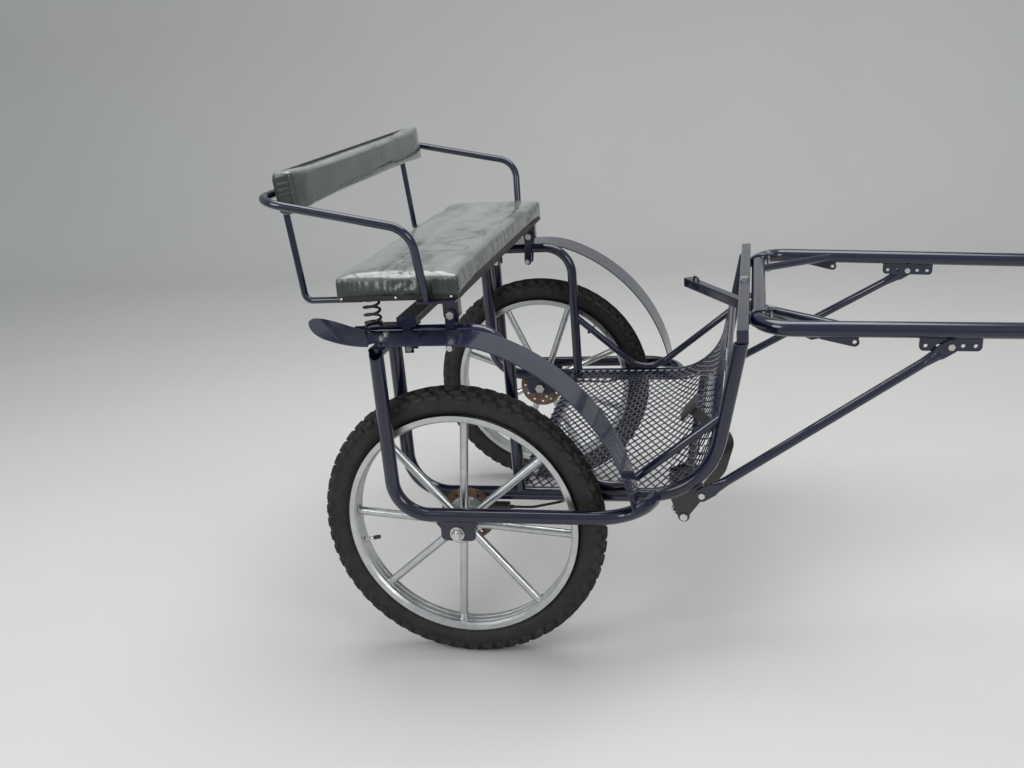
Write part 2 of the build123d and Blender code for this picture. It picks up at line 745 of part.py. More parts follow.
# Struts: tubes whose flattened ends lie flat against the lug and the drilled plate
strut_ends = {}
with BuildPart() as shaft_struts:
    for name, side in SIDES.items():
        low_side = side_frame_y + strut_plate / 2 + touch + strut_flat / 2
        low = Vector(*at(strut_low_x, side * low_side, strut_low_z))
        upper_plane = shaft_plane(strut_plate_reach, side)
        lift = strut_plate / 2 + touch + strut_flat / 2
        high = upper_plane.from_local_coords(Vector(0, -strut_hole_drop, -side * lift))
        strut_ends[name] = (low, high)
        along = (high - low).normalized()
        flat_low = Vector(along.X, 0, along.Z).normalized()
        across_shaft = upper_plane.z_dir
        flat_high = (along - across_shaft * along.dot(across_shaft)).normalized()
        low_end = low + flat_low * 24
        high_start = high - flat_high * 24
        body_low = low_end + (high_start - low_end).normalized() * 40
        body_high = high_start - (high_start - low_end).normalized() * 40
        body_dir = (body_high - body_low).normalized()
        low_normal = Vector(0, 1, 0)
        for centre, inner, flat_dir, normal in (
            (low, low_end, flat_low, low_normal),
            (high, high_start, -flat_high, across_shaft),
        ):
            with BuildSketch(Plane(origin=centre, x_dir=flat_dir, z_dir=normal)):
                SlotCenterPoint((12, 0), (24, 0), 2 * strut_eye_radius)
                Circle(strut_eye_radius)
                Circle(strut_hole / 2, mode=Mode.SUBTRACT)
            extrude(amount=strut_flat / 2, both=True)
        with BuildSketch(Plane(origin=low_end, x_dir=flat_low.cross(low_normal), z_dir=flat_low)):
            Ellipse(strut_eye_radius - 0.5, strut_flat / 2)
        with BuildSketch(Plane(origin=body_low, x_dir=flat_low.cross(low_normal), z_dir=body_dir)):
            Circle(strut_tube / 2)
        loft()
        with BuildSketch(Plane(origin=body_low, x_dir=flat_low.cross(low_normal), z_dir=body_dir)):
            Circle(strut_tube / 2)
        extrude(amount=(body_high - body_low).length)
        with BuildSketch(Plane(origin=body_high, x_dir=flat_high.cross(across_shaft), z_dir=body_dir)):
            Circle(strut_tube / 2)
        with BuildSketch(Plane(origin=high_start, x_dir=flat_high.cross(across_shaft), z_dir=flat_high)):
            Ellipse(strut_eye_radius - 0.5, strut_flat / 2)
        loft()
        with BuildSketch(Plane(origin=body_low, z_dir=body_dir)):
            Circle(strut_tube / 2 - strut_wall)
        extrude(amount=(body_high - body_low).length, mode=Mode.SUBTRACT)
save("shaft_struts", shaft_struts.part)

# Hold-back eyes: a plate under each shaft with a hole at its front end
holdbacks = []
for name, side in SIDES.items():
    with BuildPart() as holdback:
        with BuildSketch(shaft_plane(holdback_reach, side)):
            with BuildLine():
                Polyline(
                    (-holdback_length / 2, 0),
                    (-holdback_length / 2, -shaft_tube / 2 - 4),
                    (holdback_length / 2 - 14, -holdback_drop - 9),
                    (holdback_length / 2, -holdback_drop - 2),
                    (holdback_length / 2, 0),
                    close=True,
                )
            make_face()
            with Locations((holdback_length / 2 - 8, -holdback_drop)):
                Circle(10)
                Circle(holdback_hole / 2, mode=Mode.SUBTRACT)
        extrude(amount=strut_plate / 2, both=True)
        add(shaft_skin[name], mode=Mode.SUBTRACT)
    holdbacks.append(biggest(holdback.part))
with BuildPart() as holdback_eyes:
    for piece in holdbacks:
        add(piece)
save("holdback_eyes", holdback_eyes.part)


# Wheels: every piece is turned or spread about the axle line
def wheel_plane_at(side):
    """The plane through the axle line: its X is radial and its Y is outboard."""
    return Plane(origin=at(0, side * wheel_plane, axle_z), x_dir=(1, 0, 0), z_dir=(0, 0, side))


def wheel_axis(side):
    return Axis(at(0, side * wheel_plane, axle_z), (0, 1, 0))


def spoke_direction(angle):
    return Vector(cos(radians(angle)), 0, sin(radians(angle)))


def hub_face(side, inset):
    """A plane across the axle, this far inboard of the wheel's middle, facing inboard."""
    return Plane(origin=at(0, side * (wheel_plane - inset), axle_z), x_dir=(1, 0, 0), z_dir=(0, -side, 0))


tread_radius = wheel_diameter / 2
for name, side in SIDES.items():
    with BuildPart() as tyre:
        with BuildSketch(wheel_plane_at(side)):
            with BuildLine():
                Polyline(
                    (rim_radius, -tyre_bead_half),
                    (tyre_bead_radius + 2.5, -tyre_bead_half),
                    (tyre_bead_radius, -tyre_bead_half + 2),
                    (tyre_bead_radius, tyre_bead_half - 2),
                    (tyre_bead_radius + 2.5, tyre_bead_half),
                    (rim_radius, tyre_bead_half),
                )
                ThreePointArc((rim_radius, tyre_bead_half), (tyre_widest_radius, tyre_half),
                              (tyre_shoulder_radius, tyre_half / 2 + 3))
                ThreePointArc((tyre_shoulder_radius, tyre_half / 2 + 3), (tread_radius, 0),
                              (tyre_shoulder_radius, -tyre_half / 2 - 3))
                ThreePointArc((tyre_shoulder_radius, -tyre_half / 2 - 3), (tyre_widest_radius, -tyre_half),
                              (rim_radius, -tyre_bead_half))
            make_face()
            offset(amount=-tyre_wall, mode=Mode.SUBTRACT)
            with Locations((tyre_bead_radius, 0)):
                Rectangle(4 * tyre_wall, tyre_bead_half, mode=Mode.SUBTRACT)
        revolve(axis=wheel_axis(side))
    save("tyre_" + name, tyre.part)

    valve_dir = spoke_direction(valve_phase[name])
    hub_middle = Vector(*at(0, side * wheel_plane, axle_z))
    with BuildPart() as inner_tube:
        with BuildSketch(wheel_plane_at(side)):
            with Locations((tube_radius, 0)):
                RectangleRounded(2 * tube_tall, 2 * tube_half, tube_half - tube_edge)
        revolve(axis=wheel_axis(side))
        with BuildSketch(Plane(origin=hub_middle + valve_dir * valve_reach, z_dir=valve_dir)):
            Circle(valve_radius)
        extrude(amount=tyre_bead_radius + 7 - valve_reach)
        with BuildSketch(Plane(origin=hub_middle + valve_dir * valve_reach, z_dir=valve_dir)):
            Circle(valve_radius + 1)
        extrude(amount=12)
        with BuildSketch(wheel_plane_at(side)):
            with Locations((tube_radius, 0)):
                RectangleRounded(2 * (tube_tall - tube_wall), 2 * (tube_half - tube_wall),
                                 tube_half - tube_wall - tube_edge)
        revolve(axis=wheel_axis(side), mode=Mode.SUBTRACT)
    save("inner_tube_" + name, inner_tube.part)

    with BuildPart() as rim:
        with BuildSketch(wheel_plane_at(side)):
            with BuildLine():
                Polyline(
                    (rim_base_radius, -rim_half + 5),
                    (rim_base_radius, rim_half - 5),
                    (rim_base_radius + 4, rim_half),
                    (rim_radius, rim_half),
                    (rim_radius, rim_half - rim_wall),
                    (rim_base_radius + 5.5, rim_half - rim_wall),
                    (rim_base_radius + rim_wall, rim_half - 6.5),
                    (rim_base_radius + rim_wall, -rim_half + 6.5),
                    (rim_base_radius + 5.5, -rim_half + rim_wall),
                    (rim_radius, -rim_half + rim_wall),
                    (rim_radius, -rim_half),
                    (rim_base_radius + 4, -rim_half),
                    close=True,
                )
            make_face()
        revolve(axis=wheel_axis(side))
        with BuildSketch(Plane(origin=hub_middle + valve_dir * valve_reach, z_dir=valve_dir)):
            Circle(valve_radius + touch)
        extrude(amount=2 * rim_half, mode=Mode.SUBTRACT)
    save("rim_" + name, rim.part)

    with BuildPart() as spokes:
        for k in range(spoke_count):
            direction = spoke_direction(wheel_phase[name] + 360 * k / spoke_count)
            with BuildSketch(Plane(origin=hub_middle + direction * (hub_radius - 3), z_dir=direction)):
                Circle(spoke_diameter / 2)
                Circle(spoke_diameter / 2 - spoke_wall, mode=Mode.SUBTRACT)
            extrude(amount=rim_base_radius - hub_radius + 5)
        with BuildSketch(hub_face(side, 0)):
            Circle(hub_radius)
        extrude(amount=rim_half, both=True, mode=Mode.SUBTRACT)
        with BuildSketch(hub_face(side, 0)):
            Circle(rim_radius)
            Circle(rim_base_radius, mode=Mode.SUBTRACT)
        extrude(amount=rim_half, both=True, mode=Mode.SUBTRACT)
    save("spokes_" + name, spokes.part)

    with BuildPart() as hub:
        with BuildSketch(wheel_plane_at(side)):
            with BuildLine():
                Polyline(
                    (hub_bore, hub_outer_reach - bearing_width - 1),
                    (bearing_radius, hub_outer_reach - bearing_width - 1),
                    (bearing_radius, hub_outer_reach),
                    (hub_radius - 3, hub_outer_reach),
                    (hub_radius, hub_outer_reach - 3),
                    (hub_radius, hub_flange - disc_inset),
                    (hub_flange_radius, hub_flange - disc_inset),
                    (hub_flange_radius, -disc_inset),
                    (disc_bore - touch, -disc_inset),
                    (disc_bore - touch, -hub_inner_reach),
                    (bearing_radius, -hub_inner_reach),
                    (bearing_radius, -hub_inner_reach + bearing_width + 1),
                    (hub_bore, -hub_inner_reach + bearing_width + 1),
                    close=True,
                )
            make_face()
        revolve(axis=wheel_axis(side))
        with BuildSketch(hub_face(side, disc_inset)):
            with PolarLocations(disc_bolt_circle, 4, start_angle=20):
                Circle(disc_bolt / 2 + touch)
        extrude(amount=-hub_flange, mode=Mode.SUBTRACT)
    save("hub_" + name, hub.part)

    with BuildPart() as bearings:
        for inset in (hub_inner_reach - 1, bearing_width + 1 - hub_outer_reach):
            with BuildSketch(hub_face(side, inset)):
                Circle(bearing_radius)
                Circle(axle_diameter / 2 + running, mode=Mode.SUBTRACT)
            extrude(amount=-bearing_width)
    save("bearings_" + name, bearings.part)

    with BuildPart() as brake_disc:
        with BuildSketch(hub_face(side, disc_inset)):
            Circle(disc_diameter / 2)
            Circle(disc_bore, mode=Mode.SUBTRACT)
            with PolarLocations(disc_hole_circle, disc_hole_count):
                Circle(disc_hole / 2, mode=Mode.SUBTRACT)
            with PolarLocations(disc_bolt_circle, 4, start_angle=20):
                Circle(disc_bolt / 2 + touch, mode=Mode.SUBTRACT)
        extrude(amount=disc_thickness)
    save("brake_disc_" + name, brake_disc.part)

    with BuildPart() as disc_bolts:
        with BuildSketch(hub_face(side, disc_inset - hub_flange)):
            with PolarLocations(disc_bolt_circle, 4, start_angle=20):
                Circle(disc_bolt / 2)
        extrude(amount=hub_flange + disc_thickness)
        with BuildSketch(hub_face(side, disc_inset + disc_thickness)):
            with PolarLocations(disc_bolt_circle, 4, start_angle=20):
                RegularPolygon(disc_bolt * 0.9, 6)
        extrude(amount=0.6 * disc_bolt)
        with BuildSketch(hub_face(side, disc_inset - hub_flange)):
            with PolarLocations(disc_bolt_circle, 4, start_angle=20):
                RegularPolygon(disc_bolt * 0.9, 6)
        extrude(amount=-0.6 * disc_bolt)
    save("disc_bolts_" + name, disc_bolts.part)

# Axle bolts through both plates, with collars that hold the bearings apart from them
with BuildPart() as axle_bolts:
    for side in SIDES.values():
        inner_face = side_frame_y - axle_plate / 2
        outer_face = guard_y + axle_plate / 2
        collars = (
            (side_frame_y + axle_plate / 2, wheel_plane - hub_inner_reach + 1 - running, 12.5),
            (wheel_plane + hub_outer_reach - 1 + running, guard_y - axle_plate / 2, 12.5),
            (outer_face, outer_face + 2.5, axle_diameter - 0.5),
        )
        lay = Plane(origin=at(0, 0, axle_z), x_dir=(1, 0, 0), z_dir=(0, side, 0))
        with BuildSketch(lay.offset(inner_face)):
            Circle(axle_diameter / 2)
        extrude(amount=outer_face - inner_face)
        for start, stop, radius in collars:
            with BuildSketch(lay.offset(start)):
                Circle(radius)
            extrude(amount=stop - start)
        with BuildSketch(lay.offset(inner_face)):
            RegularPolygon(0.85 * axle_diameter, 6)
        extrude(amount=-0.7 * axle_diameter)
        with BuildSketch(lay.offset(outer_face + 2.5)):
            RegularPolygon(0.85 * axle_diameter, 6)
        extrude(amount=0.5 * axle_diameter)
        with BuildSketch(lay.offset(outer_face + 2.5 + 0.5 * axle_diameter)):
            Circle(0.7 * axle_diameter)
        extrude(amount=5, taper=30)
save("axle_bolts", axle_bolts.part)

# Seat carriage: rail clamps, crossbar and springs that slide along the seat rails
rail_radius = seat_rail_tube / 2
cheek_gap = rail_radius + touch
cheek_outer = cheek_gap + cheek_thickness
rail_top_z = seat_rail_z + rail_radius
plate_z = rail_top_z + touch
with BuildPart() as rail_clamps:
    for side in SIDES.values():
        middle = side * side_frame_y
        # Front clamp: two cheeks and a saddle between them, under the hinge
        with BuildSketch(side_plane(middle + cheek_outer)) as cheek_face:
            with BuildLine():
                Polyline(
                    (axle_x + front_clamp_x - cheek_half, clamp_bolt_z - cheek_half),
                    (axle_x + front_clamp_x + cheek_half, clamp_bolt_z - cheek_half),
                    (axle_x + hinge_x + cheek_half + 2, hinge_z + cheek_half + 2),
                    (axle_x + hinge_x - cheek_half - 2, hinge_z + cheek_half + 2),
                    close=True,
                )
            make_face()
            fillet(cheek_face.vertices(), radius=9)
        extrude(amount=2 * cheek_outer)
        with BuildSketch(side_plane(middle + cheek_gap)):
            with Locations((axle_x, hinge_z + 20)):
                Rectangle(80, 2 * (hinge_z + 20 - plate_z - 5))
            with Locations((axle_x, seat_rail_z - 40)):
                Rectangle(80, 2 * (plate_z - seat_rail_z + 40))
        extrude(amount=2 * cheek_gap, mode=Mode.SUBTRACT)
        # Rear clamp: a plate along the rail that carries the crossbar, a spring and two cheeks
        with BuildSketch(side_plane(middle + cheek_outer)):
            with Locations((axle_x + rear_clamp_x, (clamp_bolt_z - cheek_half + plate_z) / 2)):
                Rectangle(2 * cheek_half, plate_z - clamp_bolt_z + cheek_half)
        extrude(amount=2 * cheek_outer)
        with BuildSketch(side_plane(middle + cheek_gap)):
            with Locations((axle_x + rear_clamp_x, (clamp_bolt_z - cheek_half + plate_z) / 2 - 1)):
                Rectangle(3 * cheek_half, plate_z - clamp_bolt_z + cheek_half + 2)
        extrude(amount=2 * cheek_gap, mode=Mode.SUBTRACT)
        with BuildSketch(Plane.XY.offset(plate_z)):
            with BuildLine():
                Polyline(
                    (axle_x + rear_clamp_x + seat_cross_width / 2, middle - cheek_outer),
                    (axle_x + rear_clamp_x + seat_cross_width / 2, middle + cheek_outer),
                    (axle_x + spring_x, middle + cheek_outer),
                    (axle_x + spring_x, middle - cheek_outer),
                    close=True,
                )
            make_face()
            with Locations((axle_x + spring_x, middle)):
                Circle(spring_outer / 2 + 1)
        extrude(amount=spring_plate)
        for x, z, radius in (
            (hinge_x, hinge_z, hinge_pin / 2),
            (front_clamp_x, clamp_bolt_z, rail_clamp_bolt / 2),
            (rear_clamp_x, clamp_bolt_z, rail_clamp_bolt / 2),
        ):
            with BuildSketch(side_plane(middle + cheek_outer)):
                with Locations((axle_x + x, z)):
                    Circle(radius)
            extrude(amount=2 * cheek_outer, mode=Mode.SUBTRACT)
save("rail_clamps", rail_clamps.part)

with BuildPart() as rail_clamp_bolts:
    for side in SIDES.values():
        for x, z, diameter in (
            (hinge_x, hinge_z, hinge_pin),
            (front_clamp_x, clamp_bolt_z, rail_clamp_bolt),
            (rear_clamp_x, clamp_bolt_z, rail_clamp_bolt),
        ):
            add(bolt(at(x, side * side_frame_y, z), (0, side, 0), 2 * cheek_outer, diameter))
save("rail_clamp_bolts", rail_clamp_bolts.part)

seat_cross_z = plate_z + spring_plate
with BuildPart() as seat_crossbar:
    with BuildSketch(side_plane(seat_cross_half)):
        with Locations((axle_x + rear_clamp_x, seat_cross_z + seat_cross_height / 2)):
            RectangleRounded(seat_cross_width, seat_cross_height, 3)
    extrude(amount=2 * seat_cross_half)
    with BuildSketch(side_plane(seat_cross_half - bar_wall)):
        with Locations((axle_x + rear_clamp_x, seat_cross_z + seat_cross_height / 2)):
            RectangleRounded(seat_cross_width - 2 * bar_wall, seat_cross_height - 2 * bar_wall, 1)
    extrude(amount=2 * (seat_cross_half - bar_wall), mode=Mode.SUBTRACT)
save("seat_crossbar", seat_crossbar.part)

spring_low_z = seat_cross_z
spring_height = seat_board_z - touch - spring_low_z
coil_radius = (spring_outer - spring_wire) / 2
spring_set = []
for side in SIDES.values():
    with BuildPart() as coil_spring:
        with BuildLine() as coil:
            Helix(pitch=spring_height / spring_turns, height=spring_height, radius=coil_radius,
                  center=at(spring_x, side * side_frame_y, spring_low_z))
        with BuildSketch(Plane(origin=coil.line @ 0, z_dir=coil.line % 0)):
            Circle(spring_wire / 2)
        sweep(is_frenet=True)
        # Both ends are ground flat.
        for base, amount in ((spring_low_z, -2 * spring_wire), (spring_low_z + spring_height, 2 * spring_wire)):
            with BuildSketch(Plane.XY.offset(base)):
                with Locations((axle_x + spring_x, side * side_frame_y)):
                    Circle(2 * spring_outer)
            extrude(amount=amount, mode=Mode.SUBTRACT)
    spring_set.append(biggest(coil_spring.part))
with BuildPart() as seat_springs:
    for coil_piece in spring_set:
        add(coil_piece)
save("seat_springs", seat_springs.part)

# Seat: board, cushion and the ears that it hinges on
seat_middle_x = axle_x + (seat_front_x + seat_rear_x) / 2
seat_depth = seat_front_x - seat_rear_x
with BuildPart() as seat_board_piece:
    with BuildSketch(Plane.XY.offset(seat_board_z)):
        with Locations((seat_middle_x, 0)):
            RectangleRounded(seat_depth - 2 * board_inset, 2 * (seat_half + 2), 25)
    extrude(amount=seat_board)
    chamfer(seat_board_piece.edges().group_by(Axis.Z)[0], length=1.5)
save("seat_board", seat_board_piece.part)

with BuildPart() as seat_cushion:
    with BuildSketch(Plane.XY.offset(seat_board_z + seat_board + touch)):
        with Locations((seat_middle_x, 0)):
            RectangleRounded(seat_depth, 2 * seat_half, 28)
    extrude(amount=cushion_height)
    fillet(seat_cushion.edges().group_by(Axis.Z)[-1], radius=10)
save("seat_cushion", seat_cushion.part)

with BuildPart() as seat_ears:
    for side in SIDES.values():
        with BuildSketch(Plane.XY.offset(seat_board_z - ear_plate)) as ear_face:
            with Locations((axle_x + arm_foot_x + 22, side * (ear_outer_y + ear_inner_y) / 2)):
                RectangleRounded(88, ear_outer_y - ear_inner_y, 8)
        extrude(amount=ear_plate)
        with BuildSketch(side_plane(side * side_frame_y + hinge_strap / 2)):
            with Locations((axle_x + hinge_x, hinge_z)):
                Circle(hinge_ring)
            with Locations((axle_x + hinge_x, (hinge_z + seat_board_z - ear_plate) / 2)):
                Rectangle(2 * hinge_ring, seat_board_z - ear_plate - hinge_z)
            with Locations((axle_x + hinge_x, hinge_z)):
                Circle(hinge_pin / 2 + running, mode=Mode.SUBTRACT)
        extrude(amount=hinge_strap)
save("seat_ears", seat_ears.part)

# Arm rail: up from each side of the seat, back along it and across behind the back rest
arm_line = [
    at(arm_foot_x, -arm_foot_y, seat_board_z),
    at(arm_front_x, -arm_y, arm_front_z),
    at(arm_back_x, -arm_y, arm_back_z),
    at(arm_back_x, arm_y, arm_back_z),
    at(arm_front_x, arm_y, arm_front_z),
    at(arm_foot_x, arm_foot_y, seat_board_z),
]
arm_skin = round_bar(arm_line, [arm_bend] * 4, arm_tube / 2)
arm_bore = round_bar(arm_line, [arm_bend] * 4, arm_tube / 2 - arm_wall)
with BuildPart() as board_room:
    with BuildSketch(Plane.XY.offset(seat_board_z - 30)):
        with Locations((seat_middle_x, 0)):
            Rectangle(4 * seat_depth, 4 * seat_half)
    extrude(amount=30)
    with BuildSketch(Plane.XY.offset(seat_board_z)):
        with Locations((seat_middle_x, 0)):
            RectangleRounded(seat_depth - 2 * board_inset, 2 * (seat_half + 2), 25)
    extrude(amount=seat_board)
arm_rail = tube(arm_skin, arm_line, [arm_bend] * 4, arm_tube, arm_wall, [board_room.part])
save("arm_rail", biggest(arm_rail))

lean_back = tan(radians(back_lean))


def back_strut_line(z):
    """How far back the leaning back struts stand at this height."""
    return back_strut_x - (z - back_strut_ref_z) * lean_back


strut_under_z = seat_board_z - back_strut / 2
with BuildPart() as back_struts:
    for side in SIDES.values():
        y = side * back_strut_y
        line = [
            at(spring_x - spring_outer / 2 - 5, y, strut_under_z),
            at(back_strut_line(strut_under_z), y, strut_under_z),
            at(back_strut_line(arm_back_z + 6), y, arm_back_z + 6),
        ]
        add(round_bar(line, [18], back_strut / 2))
    add(arm_skin, mode=Mode.SUBTRACT)
save("back_struts", back_struts.part)

rest_face = Plane(
    origin=at(back_strut_line(back_low_z) + back_strut / 2 / cos(radians(back_lean)), 0, back_low_z),
    x_dir=(0, 1, 0), z_dir=(cos(radians(back_lean)), 0, sin(radians(back_lean))))
with BuildPart() as backrest_board:
    with BuildSketch(rest_face):
        with Locations((0, back_height / 2)):
            RectangleRounded(2 * back_half - 6, back_height - 6, 18)
    extrude(amount=back_board)
save("backrest_board", backrest_board.part)

with BuildPart() as backrest_cushion:
    with BuildSketch(rest_face.offset(back_board + touch)):
        with Locations((0, back_height / 2)):
            RectangleRounded(2 * back_half, back_height, 20)
    extrude(amount=back_cushion - touch)
    fillet(backrest_cushion.faces().sort_by(Axis.X)[-1].edges(), radius=9)
save("backrest_cushion", backrest_cushion.part)

# Singletree: a square tube that swings about a bolt under the dash bar
tree_turn_dir = Vector(-sin(radians(tree_turn)), cos(radians(tree_turn)), 0)
tree_plane = Plane(origin=at(dash_bar_x, 0, tree_z - tree_height / 2), x_dir=tree_turn_dir, z_dir=(0, 0, 1))
tree_half = tree_length / 2
with BuildPart() as singletree:
    with BuildSketch(Plane(origin=tree_plane.origin - tree_turn_dir * (tree_half - cap_wall) +
                           Vector(0, 0, tree_height / 2), x_dir=(0, 0, 1), z_dir=tree_turn_dir)):
        RectangleRounded(tree_height, tree_width, 3)
        RectangleRounded(tree_height - 2 * bar_wall, tree_width - 2 * bar_wall, 1.2, mode=Mode.SUBTRACT)
    extrude(amount=2 * (tree_half - cap_wall))
    with BuildSketch(tree_plane):
        Circle(tree_pin / 2 + 4)
    extrude(amount=tree_height)
    with BuildSketch(tree_plane):
        Circle(tree_pin / 2 + running)
    extrude(amount=tree_height, mode=Mode.SUBTRACT)
save("singletree", singletree.part)

with BuildPart() as singletree_caps:
    for end in (-1, 1):
        outward = tree_turn_dir * end
        tip = tree_plane.origin + outward * tree_half + Vector(0, 0, tree_height / 2)
        with BuildSketch(Plane(origin=tip, x_dir=(0, 0, 1), z_dir=-outward)):
            RectangleRounded(tree_height, tree_width, 3)
        extrude(amount=cap_wall)
        with BuildSketch(Plane(origin=tip, x_dir=(0, 0, 1), z_dir=-outward)):
            RectangleRounded(tree_height - 2 * bar_wall - touch, tree_width - 2 * bar_wall - touch, 1)
        extrude(amount=cap_depth)
save("singletree_caps", singletree_caps.part)

with BuildPart() as trace_loops:
    for end in (-1, 1):
        middle = tree_plane.origin + tree_turn_dir * end * (tree_half - loop_inset - loop_width / 2)
        top = middle + Vector(0, 0, tree_height)
        half = tree_turn_dir * (loop_width / 2)
        line = [
            tuple(top - half),
            tuple(top - half + Vector(0, 0, loop_height)),
            tuple(top + half + Vector(0, 0, loop_height)),
            tuple(top + half),
        ]
        add(round_bar(line, [loop_height - 1.5] * 2, loop_wire / 2))
save("trace_loops", trace_loops.part)

# Singletree bracket: a channel welded behind the dash bar's foot, closed in front
bracket_low_z = tree_z - tree_height / 2 - touch - tree_bracket
bracket_high_z = crossbar_z - shaft_tube / 2 - 2
bracket_web_x = dash_bar_x + 36
bracket_rear_x = dash_bar_x - dash_bar_width / 2 + 2
with BuildPart() as singletree_bracket:
    with BuildSketch(side_plane(tree_bracket_half)):
        with BuildLine():
            Polyline(
                (axle_x + dash_bar_x - 18, bracket_low_z),
                (axle_x + bracket_web_x, bracket_low_z),
                (axle_x + bracket_web_x, bracket_high_z),
                (axle_x + dash_bar_x + dash_bar_width / 2 - 1, bracket_high_z),
                (axle_x + dash_bar_x + dash_bar_width / 2 - 1, dash_cut_z),
                (axle_x + bracket_rear_x, dash_cut_z),
                (axle_x + bracket_rear_x, bracket_high_z - tree_bracket),
                (axle_x + bracket_web_x - tree_bracket, bracket_high_z - tree_bracket),
                (axle_x + bracket_web_x - tree_bracket, bracket_low_z + tree_bracket),
                (axle_x + dash_bar_x - 18, bracket_low_z + tree_bracket),
                close=True,
            )
        make_face()
    extrude(amount=2 * tree_bracket_half)
    with Locations(at(dash_bar_x, 0, tree_z)):
        Cylinder(tree_pin / 2, 4 * tree_height, mode=Mode.SUBTRACT)
save("singletree_bracket", singletree_bracket.part)

# Brake: places that the lever, cylinder and lines share
pull_along = Vector(cos(radians(pull_slope)), 0, sin(radians(pull_slope)))
pull_up = Vector(-sin(radians(pull_slope)), 0, cos(radians(pull_slope)))
pedal_pivot = Vector(*at(pedal_x, pedal_y, pedal_z))
pull_pin = pedal_pivot + pull_up * pull_arm
pad_centre = Vector(*at(pad_x, pedal_y, pad_z))
knee = (pedal_x + 88.0, pedal_z + 115.0)
elbow = (pedal_x + 110.0, pedal_z + 190.0)
pad_dir = (pad_centre - Vector(*at(elbow[0], pedal_y, elbow[1]))).normalized()
lever_end = pad_centre - pad_dir * pad_thickness
lever_face = Plane(origin=(0, pedal_y + lever_thickness / 2, 0), x_dir=(1, 0, 0), z_dir=(0, -1, 0))


def pull_plane(reach):
    """A plane across the cylinder, this far up from the pedal's pull pin; its X is across."""
    return Plane(origin=pull_pin + pull_along * reach, x_dir=(0, 1, 0), z_dir=pull_along)


# Brake pedal: a flat lever that curves round the front of the basket and in through its slot
boss_radius = 13.0
boss_half = cheek_gap_half - touch
with BuildPart() as brake_pedal:
    with BuildSketch(lever_face):
        with BuildLine() as lever_line:
            FilletPolyline(
                (pedal_pivot.X, pedal_pivot.Z),
                (axle_x + knee[0], knee[1]),
                (axle_x + elbow[0], elbow[1]),
                (lever_end.X, lever_end.Z),
                radius=[40, 30],
            )
        trace(line_width=lever_width)
        with Locations((pedal_pivot.X, pedal_pivot.Z)):
            Circle(boss_radius)
    extrude(amount=lever_thickness)
    with BuildSketch(lever_face):
        with Locations((pedal_pivot.X, pedal_pivot.Z)):
            Circle(boss_radius)
        with Locations((pull_pin.X, pull_pin.Z)):
            Circle(9)
        make_hull()
    extrude(amount=lever_thickness)
    with BuildSketch(side_plane(pedal_y)):
        with Locations((pedal_pivot.X, pedal_pivot.Z)):
            Circle(boss_radius)
    extrude(amount=boss_half, both=True)
    with BuildSketch(side_plane(pedal_y)):
        with Locations((pull_pin.X, pull_pin.Z)):
            Circle(pedal_pin / 2)
    extrude(amount=9, both=True)
    with BuildSketch(Plane(origin=pad_centre, x_dir=(0, 1, 0), z_dir=pad_dir)):
        RectangleRounded(pad_size, pad_size, 6)
    extrude(amount=-pad_thickness)
    with BuildSketch(side_plane(pedal_y)):
        with Locations((pedal_pivot.X, pedal_pivot.Z)):
            Circle(pedal_pin / 2 + running)
    extrude(amount=2 * boss_half, both=True, mode=Mode.SUBTRACT)
save("brake_pedal", brake_pedal.part)

# Pedal bracket: two cheeks hung from the front crossbar, either side of the lever
block_reach = (40.0, 66.0)
block_up = (-12.0, 23.0)
block_bolt = 6.0
block_bolts = [pull_pin + pull_along * reach + pull_up * 17 for reach in (47, 60)]
with BuildPart() as pedal_bracket:
    for offset in (cheek_gap_half, -cheek_gap_half - bracket_plate):
        with BuildSketch(side_plane(pedal_y + offset + bracket_plate)) as cheek_face:
            with BuildLine():
                Polyline(
                    (pedal_pivot.X - 31, pedal_pivot.Z + 108),
                    (pedal_pivot.X - 11, pedal_pivot.Z + 116),
                    (pedal_pivot.X + 13, pedal_pivot.Z + 128),
                    (pedal_pivot.X + 23, pedal_pivot.Z + 126),
                    (pedal_pivot.X + 37, pedal_pivot.Z + 112),
                    (pedal_pivot.X + 33, pedal_pivot.Z + 65),
                    (pedal_pivot.X + 13, pedal_pivot.Z + 2),
                    (pedal_pivot.X - 13, pedal_pivot.Z - 2),
                    (pedal_pivot.X - 29, pedal_pivot.Z + 45),
                    close=True,
                )
            make_face()
            with Locations((pedal_pivot.X, pedal_pivot.Z)):
                Circle(13.5)
                Circle(pedal_pin / 2, mode=Mode.SUBTRACT)
            for hole in block_bolts:
                with Locations((hole.X, hole.Z)):
                    Circle(block_bolt / 2, mode=Mode.SUBTRACT)
        extrude(amount=bracket_plate)
    add(front_cross_skin, mode=Mode.SUBTRACT)
save("pedal_bracket", pedal_bracket.part)

